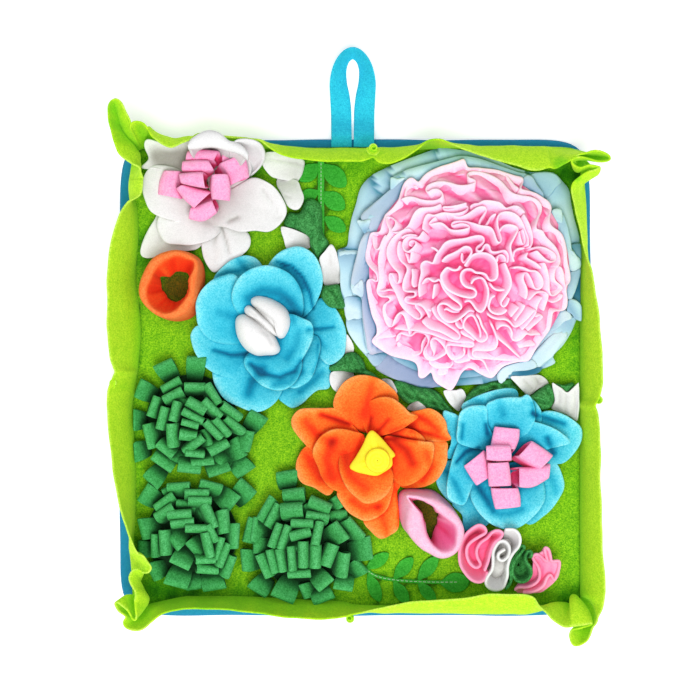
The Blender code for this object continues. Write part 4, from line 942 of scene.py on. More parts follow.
# Creases of the petals, darkened with painted shade: path in the frame, half width, depth, how much
# darker.
WHITE_STROKES = (
    (((263, 189), (277, 209), (279, 218)), 1.8, 1.4, 0.30), (((229, 221), (238, 217)), 2.4, 2.0, 0.35),
    (((222, 227), (226, 240), (229, 253)), 1.7, 2.2, 0.45), (((218, 231), (214, 243)), 2.4, 1.0, 0.25),
    (((156, 158), (172, 160), (190, 158)), 12.0, 2.5, 0.75),
    (((241, 144), (250, 151), (253, 155)), 1.6, 2.0, 0.35), (((160, 222), (161, 240)), 3.0, 1.0, 0.25),
    (((205, 222), (218, 226)), 3.0, 0.8, 0.20),
)
BLUE_A_STROKES = (
    (((217, 277), (228, 272), (239, 271)), 3.0, 1.6, 0.40), (((239, 260), (247, 270)), 4.0, 1.5, 0.40),
    (((277, 262), (292, 266), (303, 277), (310, 292), (313, 308)), 1.9, 2.4, 0.55),
    (((284, 268), (295, 275), (302, 287)), 5.0, 1.4, 0.40),
    (((309, 329), (321, 329), (333, 327)), 2.2, 2.4, 0.45),
    (((308, 331), (318, 338), (325, 347)), 2.6, 1.2, 0.25),
    (((262, 370), (252, 382), (248, 394)), 6.0, 1.8, 0.45),
    (((275, 385), (290, 382), (302, 372)), 4.5, 1.2, 0.45),
    (((214, 350), (231, 355), (247, 354)), 2.6, 2.2, 0.50), (((219, 312), (236, 317)), 4.5, 1.2, 0.22),
    (((249, 298), (262, 290), (278, 292), (291, 302), (300, 315)), 6.0, 1.6, 0.36),
    (((250, 364), (262, 374), (280, 377), (295, 371), (301, 360)), 3.0, 2.6, 0.55),
    (((318, 345), (318, 360), (313, 372)), 2.2, 1.6, 0.40),
    (((323, 372), (310, 384), (300, 392)), 4.0, 1.4, 0.35),
    (((300, 330), (297, 345), (288, 358)), 4.5, 1.0, 0.22), (((292, 315), (294, 322)), 3.0, 1.0, 0.35),
)
ORANGE_STROKES = (
    (((373, 377), (369, 395), (365, 413)), 5.0, 1.2, 0.26),
    (((321, 414), (335, 419), (349, 424)), 3.0, 3.0, 0.55),
    (((306, 421), (315, 433), (330, 441)), 5.0, 1.6, 0.36),
    (((304, 452), (312, 464), (320, 478)), 6.0, 1.6, 0.42),
    (((334, 440), (326, 458), (331, 478)), 6.5, 1.6, 0.36),
    (((344, 456), (349, 476), (365, 488)), 6.0, 1.6, 0.30),
    (((396, 441), (407, 450), (413, 463)), 5.0, 2.0, 0.42),
    (((427, 453), (431, 467), (422, 481)), 4.0, 1.4, 0.36),
    (((412, 430), (430, 434), (446, 439)), 3.0, 1.6, 0.42), (((369, 433), (372, 418)), 1.8, 1.4, 0.30),
    (((376, 435), (389, 419)), 2.0, 1.4, 0.30), (((397, 490), (400, 508), (399, 524)), 2.4, 1.8, 0.40),
    (((378, 507), (384, 521), (387, 533)), 3.5, 1.5, 0.30),
    (((392, 432), (404, 427), (414, 424)), 3.5, 1.4, 0.34),
    (((385, 440), (398, 437), (415, 440)), 2.6, 1.6, 0.45),
    (((352, 500), (365, 509), (382, 505)), 4.0, 1.2, 0.32),
    (((418, 416), (426, 420), (438, 430)), 3.5, 1.4, 0.36),
)
BLUE_B_STROKES = (
    (((532, 413), (548, 418), (563, 423)), 3.4, 2.2, 0.60), (((462, 424), (461, 438)), 2.6, 1.6, 0.50),
    (((478, 487), (487, 500), (493, 511)), 4.0, 2.2, 0.55), (((547, 438), (553, 453)), 3.4, 1.6, 0.55),
    (((486, 424), (488, 433)), 3.0, 1.6, 0.60), (((470, 398), (480, 401)), 3.0, 1.2, 0.30),
    (((500, 514), (512, 513), (522, 509)), 3.5, 1.0, 0.35),
    (((456, 462), (466, 452), (479, 448)), 2.2, 2.0, 0.55), (((531, 402), (534, 416)), 2.6, 1.4, 0.45),
    (((445, 470), (455, 484), (462, 500)), 4.0, 1.2, 0.40),
    (((545, 470), (553, 480), (556, 492)), 4.0, 1.0, 0.28), (((498, 400), (503, 414)), 4.0, 1.2, 0.26),
)
# The hooded petal that rests on the fence: u, v of its top, v of its lip.
HOOD_PLACES = (
    (188.5, 146.0, 148.5), (191.0, 140.5, 149.0), (196.0, 136.5, 148.5), (203.0, 132.5, 147.5),
    (210.0, 131.0, 147.0), (217.0, 132.5, 147.5), (223.0, 136.5, 149.0), (228.0, 141.0, 150.5),
    (234.0, 142.8, 152.0), (240.0, 145.0, 154.0), (244.5, 149.0, 157.0), (248.0, 154.0, 160.0),
)
HOOD_ROOT = (206.0, 182.0)
HOOD_RISE = (
    # height, distance in front of the top, tone (painted shade, darker low down)
    (18.0, 13.0, 0.30), (32.0, 9.0, 0.45), (46.0, 5.5, 0.60), (54.0, 2.2, 0.80), (57.0, 0.3, 1.0),
    (58.2, 0.0, 1.0),
)
# Its curl: share of the way from top to lip, height.
HOOD_CURL = ((0.25, 59.5), (0.5, 60.0), (0.75, 59.2), (0.92, 57.6), (1.0, 56.0))
# Height at which the rim of the fence carries the hooded petal.
RIM_HEIGHT = 58.0
# The petal that leans on the fence: u, v, height of its rim.
LEANING_ROOT = (222.0, 186.0)
LEANING_PLACES = (
    (230.0, 150.0, 50.0), (232.5, 144.0, 56.0), (237.0, 140.5, 58.0), (243.0, 139.3, 58.0),
    (249.0, 139.6, 58.0), (255.0, 141.2, 57.0), (260.0, 144.0, 54.0), (263.5, 148.5, 48.0),
    (265.0, 155.0, 40.0), (262.5, 163.0, 31.0), (257.0, 170.0, 25.0), (250.0, 176.5, 20.0),
)


def add_hood(cloth):
    """A petal that rises along the fence and curls forward over the middle of the flower."""
    places = resample(curve(HOOD_PLACES, 5), 44)
    low = 15.0
    root = place(*HOOD_ROOT, low)
    rows = []
    tones = []
    for share in (0.0, 0.45, 0.8):
        row = []
        for u, top, _ in places:
            start = place(u, top, RIM_HEIGHT) - np.array((0.0, HOOD_RISE[0][1], 0.0))
            row.append((root[0] + (start[0] - root[0]) * (0.25 + 0.75 * share),
                        root[1] + (start[1] - root[1]) * share, low + 2.0 * share))
        rows.append(row)
        # Painted shade where the petal lies low.
        tones.append([0.4] * len(row))
    for height, back, tone in HOOD_RISE:
        row = []
        for u, top, _ in places:
            point = place(u, top, RIM_HEIGHT)
            inward = 0.35 * (HOOD_RISE[-1][0] - height) / 40.0
            row.append((point[0] + (root[0] - point[0]) * inward, point[1] - back, height))
        rows.append(row)
        tones.append([tone] * len(row))
    for share, height in HOOD_CURL:
        row = []
        for index, (u, top, lip) in enumerate(places):
            first = place(u, top, RIM_HEIGHT)
            last = place(u, lip, RIM_HEIGHT - 1.0)
            row.append((first[0] + (last[0] - first[0]) * share, first[1] + (last[1] - first[1]) * share,
                        height - 1.2 * share * wave(3, index * 0.35)))
        rows.append(row)
        # Painted shade under the curl, towards the lip.
        tones.append([1.0 - 0.25 * max(0.0, share - 0.75)] * len(row))
    cloth.add(rows, tone=tones)


def add_leaning_petal(cloth):
    """A petal that lies on the floor at its root and rises to the rim of the fence."""
    places = resample(curve(LEANING_PLACES, 5), 48)
    low = 12.4
    root = place(*LEANING_ROOT, low)
    rows = []
    tones = []
    for share in np.linspace(0.0, 1.0, 14):
        row = []
        for index, (u, v, height) in enumerate(places):
            rim = place(u, v, height)
            row.append((root[0] + (rim[0] - root[0]) * (0.1 + 0.9 * share),
                        root[1] + (rim[1] - root[1]) * share,
                        low + (height - low) * share ** 3.2 + 0.6 * share * wave(5, index * 0.3)))
        rows.append(row)
        # Painted shade towards the root.
        tones.append([0.45 + 0.55 * share] * len(row))
    cloth.add(rows, tone=tones)


FLOWERS = (
    # name, slot, material, petals, creases
    ("white_flower", "white_felt", WHITE_FELT, WHITE_PETALS, WHITE_STROKES),
    ("blue_flower_a", "blue_felt", BLUE_FELT, BLUE_A_PETALS, BLUE_A_STROKES),
    ("orange_flower", "orange_felt", ORANGE, ORANGE_PETALS, ORANGE_STROKES),
    ("blue_flower_b", "blue_felt", BLUE_FELT, BLUE_B_PETALS, BLUE_B_STROKES),
)


def build_flowers():
    """Two layers of overlapping petals for each of the four flowers."""
    for name, slot, material, petals, strokes in FLOWERS:
        for layer, node_end in enumerate(("outer", "inner")):
            cloth = Cloth()
            longest = 0.0
            for index, (which, low, high, cup, crease, outline) in enumerate(petals):
                if which == layer:
                    length = add_petal(cloth, outline, low, high, cup, seed=index, crease=crease,
                                       count=27, strokes=strokes)
                    longest = max(longest, length)
            if name == "white_flower":
                (add_leaning_petal, add_hood)[layer](cloth)
            item = cloth.build(f"{name}_{node_end}_petals", THICKNESS["petal"], smooth=0)
            dress(item, f"{name}_{node_end}", material)


# ---------------------------------------------------------------- loops

def add_loop(cloth, root, top, heading, width, opening, end_bend):
    """One strip of fleece that leaves its root, turns over at the top and comes back.

    heading is the direction, in plan, in which the strip's own width lies; opening is how far its
    two sides are apart, end_bend how much one end of the fold lies lower than the other.
    """
    root = np.asarray(root, dtype=float)
    top = np.asarray(top, dtype=float)
    up = top - root
    length = np.linalg.norm(up)
    up /= length
    turn = math.radians(heading)
    wide = np.array((math.cos(turn), math.sin(turn), 0.0))
    wide -= up * (wide @ up) * 0.6
    wide /= np.linalg.norm(wide)
    out = np.cross(up, wide)
    out /= np.linalg.norm(out)
    radius = opening / 2
    path = [(0.0, -0.3 * radius), (0.3 * length, -0.75 * radius), (0.65 * length, -radius)]
    bend = length - radius
    for k in range(7):
        angle = math.pi * k / 6
        path.append((bend + radius * math.sin(angle), -radius * math.cos(angle)))
    path += [(0.65 * length, radius), (0.3 * length, 0.75 * radius), (0.0, 0.3 * radius)]
    rows = []
    tones = []
    for along, away in path:
        row = []
        for share in (-1.0, -0.88, 0.0, 0.88, 1.0):
            narrow = 0.72 + 0.28 * min(1.0, along / (0.5 * length))
            bow = end_bend * share * (along / length)
            row.append(root + up * (along - bow) + out * away + wide * width / 2 * share * narrow)
        rows.append(row)
        # Painted shade: darker towards the loop's root.
        tones.append([min(1.0, along / length) ** 0.8] * 5)
    cloth.add(rows, tone=tones)


POMPOMS = (
    # name, middle in the frame, then its loops:
    # u, v, heading of the width, width, depth seen from above, lean (0 upright, 1 leaning out, 2 low)
    ("pompom_back", 192.0, 420.0,
     ((167, 370, -33, 21, 17, 1), (196, 367, 5, 20, 20, 1), (145, 391, 115, 20, 16, 1),
      (170, 383, -30, 22, 8, 0), (172, 394, -28, 22, 9, 0), (195, 385, -5, 22, 8, 0),
      (214, 393, 60, 24, 9, 0), (152, 406, -72, 22, 9, 0), (161, 418, -74, 24, 9, 0),
      (174, 411, -75, 21, 9, 0), (197, 405, 30, 22, 11, 0), (193, 416, 27, 24, 8, 0),
      (190, 424, 15, 18, 7, 0), (213, 408, 42, 25, 9, 0), (233, 411, 28, 25, 10, 0),
      (255, 421, 35, 20, 16, 1), (236, 425, 33, 25, 9, 0), (214, 430, 45, 24, 8, 0),
      (223, 427, 45, 24, 8, 0), (147, 437, 78, 26, 11, 0), (135, 420, 92, 22, 14, 1),
      (171, 436, 88, 25, 12, 0), (164, 451, 40, 21, 10, 0), (188, 436, 8, 18, 12, 0),
      (194, 446, -40, 26, 9, 0), (195, 455, 12, 20, 7, 0), (138, 451, 75, 21, 16, 1),
      (161, 465, 38, 25, 11, 0), (189, 471, 15, 24, 12, 0), (203, 464, -6, 23, 8, 0),
      (220, 449, -25, 22, 11, 0), (236, 449, 62, 22, 15, 2), (251, 442, 95, 22, 10, 0),
      (241, 466, -42, 22, 17, 1), (220, 473, 0, 24, 8, 0), (222, 461, 40, 20, 12, 2),
      (155, 477, 40, 21, 15, 1), (178, 458, 20, 18, 10, 2), (205, 438, 70, 18, 9, 2),
      (180, 402, 10, 18, 9, 2))),
    ("pompom_front_left", 192.0, 535.0,
     ((178, 484, 2, 24, 8, 0), (212, 483, 2, 24, 8, 0), (243, 492, 40, 22, 18, 1),
      (227, 499, -50, 22, 17, 1), (197, 491, -4, 25, 7, 0), (200, 499, -4, 24, 8, 0),
      (150, 496, -58, 21, 16, 1), (163, 500, -35, 24, 9, 0), (163, 511, -30, 22, 10, 0),
      (179, 513, -4, 25, 9, 0), (182, 522, -8, 24, 8, 0), (149, 528, 80, 22, 17, 1),
      (177, 537, 45, 22, 16, 2), (196, 528, 0, 22, 8, 0), (211, 515, 68, 27, 10, 0),
      (226, 521, 86, 24, 13, 0), (237, 536, 92, 26, 9, 0), (153, 546, 90, 24, 8, 0),
      (163, 543, 86, 26, 11, 0), (213, 533, 62, 20, 8, 0), (209, 545, 78, 26, 9, 0),
      (197, 546, 50, 20, 13, 2), (183, 558, 28, 22, 16, 1), (206, 561, 0, 20, 8, 0),
      (220, 549, -76, 24, 7, 0), (225, 556, -65, 26, 8, 0), (231, 568, -70, 24, 10, 0),
      (179, 577, 22, 25, 19, 1), (208, 571, 8, 22, 10, 0), (213, 582, -14, 24, 15, 1),
      (157, 570, 70, 20, 14, 2), (194, 583, 0, 16, 12, 2), (203, 512, 60, 18, 10, 2),
      (172, 491, -30, 18, 10, 2), (186, 506, 0, 20, 9, 2), (144, 549, 90, 18, 12, 2))),
    ("pompom_front_right", 306.0, 545.0,
     ((287, 478, -3, 22, 13, 1), (293, 490, 0, 23, 12, 0), (291, 507, -3, 23, 17, 0),
      (264, 507, -63, 27, 8, 0), (271, 514, -65, 25, 8, 0), (321, 502, 25, 24, 13, 0),
      (318, 515, 10, 24, 9, 0), (302, 522, 2, 23, 8, 0), (300, 533, -15, 22, 10, 0),
      (318, 533, -78, 24, 9, 0), (274, 535, -72, 26, 8, 0), (283, 537, -70, 26, 8, 0),
      (260, 545, 85, 16, 12, 2), (335, 534, 60, 22, 17, 1), (357, 527, 42, 26, 8, 0),
      (339, 517, -10, 18, 12, 2), (249, 560, 90, 23, 14, 1), (262, 567, 65, 26, 11, 0),
      (271, 562, 76, 25, 9, 0), (280, 561, 80, 24, 9, 0), (291, 559, 84, 25, 8, 0),
      (303, 555, 90, 27, 11, 0), (316, 557, 92, 24, 12, 0), (331, 556, -68, 24, 13, 0),
      (321, 579, -40, 20, 16, 1), (299, 575, -5, 24, 9, 0), (261, 586, 40, 22, 15, 1),
      (286, 590, 24, 25, 20, 1), (307, 590, 70, 16, 11, 2), (322, 595, -22, 23, 13, 1),
      (346, 566, 95, 26, 12, 0), (344, 583, 12, 20, 13, 1), (362, 549, 80, 24, 18, 1),
      (357, 568, 60, 18, 13, 2), (246, 529, 95, 26, 8, 0), (253, 529, 97, 25, 7, 0),
      (336, 503, 60, 14, 12, 2), (258, 528, 90, 18, 9, 2), (290, 546, 0, 18, 9, 2),
      (307, 512, 60, 16, 9, 2))),
)
# A bunch's dome: its reach in the frame, the height of its loops in the middle and at the edge.
POMPOM_REACH = 62.0
POMPOM_TOP = 38.0
POMPOM_EDGE = 24.0
POMPOM_UNEVEN = 1.5
LOOP_BEND = 1.6
# What the cloth itself takes of a loop's traced depth.
LOOP_CLOTH = 1.6
# Leaning loops: how much lower their tops lie, how much lower still the low ones', and their opening.
LEANING_DROP = 3.0
LOW_DROP = 6.0
LEANING_OPENING = 6.5


def add_backing(cloth, u, v, radius, rise):
    """A low dome of cloth under a bunch of loops."""
    centre = place(u, v, SEWN)
    rings, around = 6, 28
    rows = []
    for k in range(rings):
        share = k / (rings - 1)
        ring = []
        for j in range(around):
            turn = 2 * math.pi * j / around
            reach = max(0.03, share) * radius
            height = LOWEST + rise * math.sqrt(max(0.0, 1 - share ** 2))
            ring.append((centre[0] + reach * math.cos(turn), centre[1] + reach * math.sin(turn), height))
        rows.append(ring)
    # Painted shade: the backing is painted in full shade under the loops.
    cloth.add(rows, closed=True, tone=np.zeros((rings, around)))


def build_pompoms():
    """Three bunches of green loops: each loop is a strip of fleece folded over and sewn by its ends."""
    for number, (name, u, v, loops) in enumerate(POMPOMS):
        picker = random.Random(40 + number)
        cloth = Cloth()
        add_backing(cloth, u, v, radius=44.0, rise=7.0)
        for loop_u, loop_v, heading, width, depth, lean in loops:
            away = np.array((loop_u - u, loop_v - v))
            distance = np.linalg.norm(away)
            share = min(1.0, distance / POMPOM_REACH)
            height = POMPOM_TOP - (POMPOM_TOP - POMPOM_EDGE) * share ** 2
            height += picker.uniform(-POMPOM_UNEVEN, POMPOM_UNEVEN)
            turn = math.radians(heading)
            normal = np.array((-math.sin(turn), math.cos(turn)))
            if normal @ away < 0:
                normal = -normal
            spot = np.array((loop_u, loop_v), dtype=float)
            if lean == 0:
                top = place(*spot, height)
                root = place(*(spot - away * 0.30), SEWN + 3.0)
                opening = depth * MM_PER_PIXEL - LOOP_CLOTH
            else:
                if lean == 2:
                    height -= LOW_DROP
                top = place(*(spot + normal * depth / 2), height - LEANING_DROP)
                root = place(*(spot - normal * (depth / 2 + 5.0)), SEWN + 4.0)
                opening = LEANING_OPENING
            add_loop(cloth, root, top, -heading, width * MM_PER_PIXEL * 0.97, opening,
                     end_bend=picker.uniform(-LOOP_BEND, LOOP_BEND))
        cloth.hold_back(POMPOM_LIMIT, -1)
        item = cloth.build(name + "_loops", THICKNESS["pompom"])
        dress(item, name, POMPOM)


# Loops: the fold edges of the upper side from one open end to the other, top height at both ends,
# depth of the loop, and how far its lower side stands out at both ends.
WHITE_MIDDLE_LOOPS = (
    (((222, 152), (226, 153), (232, 153)), ((222, 163), (226, 162), (231, 160)), 31, 31, 6, 0, 0),
    (((187, 150.5), (203, 149.5), (219, 151)), ((185, 160), (199, 160), (214, 160)), 36, 36, 9, 0, 7),
    (((182, 161), (196, 160), (209, 160.5)), ((181, 170), (197, 171), (214, 170)), 39, 40, 9, 0, 2),
    (((163.5, 170), (159, 181), (157, 194)), ((181, 171), (176, 184), (181, 199)), 35, 33, 9, 3, 0),
    (((219, 163), (226, 172), (231, 185)), ((243, 153.5), (247, 164), (249, 177)), 36, 37, 9, 0, 4),
    (((182, 184.5), (196, 188.5), (211, 192)), ((176, 188), (184, 199), (194, 208)), 38, 37, 9, 0, 0),
    (((190, 208), (200, 204), (212, 200)), ((188, 218), (203, 221), (217, 212)), 33, 34, 9, 0, 7),
    (((178.5, 173.5), (190, 172.5), (203, 172)), ((180, 182), (192, 185), (205, 187.5)), 42, 44, 9, 0, 7),
    (((212, 174), (211, 187), (212, 199)), ((227.5, 174), (230, 187), (229.5, 201)), 44, 42, 9, 0, 2),
)
BLUE_B_MIDDLE_LOOPS = (
    (((495, 426.5), (493, 436), (491, 446)), ((520, 429), (519.5, 439), (515, 450)), 34, 35, 9, 0, 0),
    (((464, 466), (470, 476), (477, 486)), ((484, 450), (486.5, 464), (489, 478)), 36, 35, 9, 0, 0),
    (((491, 488), (493, 499), (496, 510)), ((518, 488), (520.5, 497), (521, 507)), 34, 32, 9, 0, 0),
    (((519, 468), (534, 468), (551, 464)), ((519, 487), (533, 487.5), (549.5, 478)), 35, 34, 9, 8, 0),
    (((532, 441), (543, 448), (554, 456)), ((518, 456), (529, 463), (541, 469.5)), 39, 37, 9, 4, 0),
    (((488, 463), (488.5, 475), (489.5, 487)), ((508.5, 462), (510.5, 474), (511.5, 486)),
     41, 40, 9, 2, 0),
    (((486, 446.5), (498, 445.5), (511, 446)), ((486.5, 459.5), (498, 461), (512, 460)), 42, 43, 9, 0, 4),
)
LOOP_FLOOR = 18.0


def add_traced_loop(cloth, root, row, seed):
    """A strip of fleece folded over: a domed upper side, and a lower side that narrows to its root."""
    edge_one, edge_two, high_one, high_two, depth, lip_one, lip_two = row
    lanes = 9
    around = 16
    first = resample(curve([place(u, v, high_one) for u, v in edge_one], 5), lanes)
    second = resample(curve([place(u, v, high_two) for u, v in edge_two], 5), lanes)
    highs = np.linspace(high_one, high_two, lanes)
    along = (first[-1] + second[-1] - first[0] - second[0])[:2]
    along /= np.linalg.norm(along)
    width = np.linalg.norm((second - first)[:, :2], axis=1).mean()
    rows = []
    tones = []
    for lane in range(lanes):
        end = -lip_one if lane == 0 else lip_two if lane == lanes - 1 else 0.0
        middle = (first[lane] + second[lane])[:2] / 2
        half = (second[lane] - first[lane])[:2] / 2
        row = []
        tone = []
        for k in range(around):
            turn = 2 * math.pi * k / around
            across = -math.cos(turn)
            plan = middle + half * math.copysign(abs(across) ** 0.75, across)
            up = math.sin(turn)
            rim = highs[lane] - depth / 2
            if up >= 0:
                dent = 0.7 * wave(seed, 9.0 * lane / (lanes - 1) + 2.1 * across)
                height = rim + (depth / 2 + dent) * up ** 0.75
                shade = 1.0
            else:
                deep = -up
                plan = plan + (root - plan) * 0.62 * deep ** 1.4 + along * end * (1 - 0.8 * deep)
                height = rim - (rim - LOOP_FLOOR) * deep ** 1.2 - abs(end) * 0.15
                # Painted shade on the lower side of the loop.
                shade = 0.15
            row.append((plan[0], plan[1], height))
            tone.append(shade)
        rows.append(row)
        tones.append(tone)
    cloth.add(rows, closed=True, tone=tones)
    return width


def build_middles():
    """The pink loops in the middle of the white flower and of one blue flower."""
    for node, u, v, loops in (("white_flower_loops", 204.0, 182.0, WHITE_MIDDLE_LOOPS),
                              ("blue_flower_b_loops", 506.0, 466.0, BLUE_B_MIDDLE_LOOPS)):
        cloth = Cloth()
        root = place(u, v, LOOP_FLOOR)[:2]
        for index, row in enumerate(loops):
            add_traced_loop(cloth, root, row, index)
        item = cloth.build(node + "_cloth", THICKNESS["pink loop"])
        dress(item, node, LOOP_PINK)


# ---------------------------------------------------------------- peony

PEONY_CENTRE = (469.0, 270.0)
PEONY_DISCS = (
    # name, node, height at the middle, height at the rim, outline in the frame
    ("disc_lower", "peony_disc_lower", 12.0, 17.0,
     ((439, 148), (421, 154), (403, 161), (386, 168), (371, 176), (363, 184), (359, 192), (356, 204),
      (352, 217), (349, 232), (347, 246), (339, 250), (341, 262), (342, 275), (341, 287), (345, 300),
      (346, 315), (347, 328), (353, 339), (360, 349), (368, 358), (376, 365), (384, 372), (393, 376),
      (413, 384), (436, 387), (452, 386), (466, 385), (482, 384), (500, 385), (506, 379), (514, 374),
      (530, 374), (542, 369), (555, 363), (553, 356), (563, 345), (571, 332), (576, 320), (580, 311),
      (580, 306), (576, 300), (571, 297), (575, 288), (580, 280), (583, 272), (582, 258), (581, 246),
      (578, 232), (574, 218), (571, 203), (569, 190), (563, 182), (554, 173), (542, 172), (529, 172),
      (514, 168), (500, 162), (484, 155), (467, 151), (452, 149))),
    ("disc_upper", "peony_disc_upper", 15.0, 23.0,
     ((460, 156), (446, 159), (431, 163), (416, 167), (404, 171), (393, 177), (391, 183), (391, 190),
      (382, 197), (372, 206), (364, 214), (358, 221), (361, 228), (365, 233), (361, 242), (358, 252),
      (354, 267), (351, 282), (352, 291), (361, 298), (362, 310), (363, 326), (365, 340), (369, 353),
      (384, 352), (398, 362), (415, 370), (436, 376), (458, 378), (480, 376), (498, 373), (512, 368),
      (528, 366), (540, 367), (549, 359), (558, 348), (567, 337), (571, 326), (573, 317), (566, 312),
      (566, 302), (571, 290), (573, 276), (572, 262), (568, 248), (563, 233), (558, 216), (551, 209),
      (545, 199), (537, 187), (528, 175), (517, 172), (500, 166), (484, 160), (472, 157))),
)
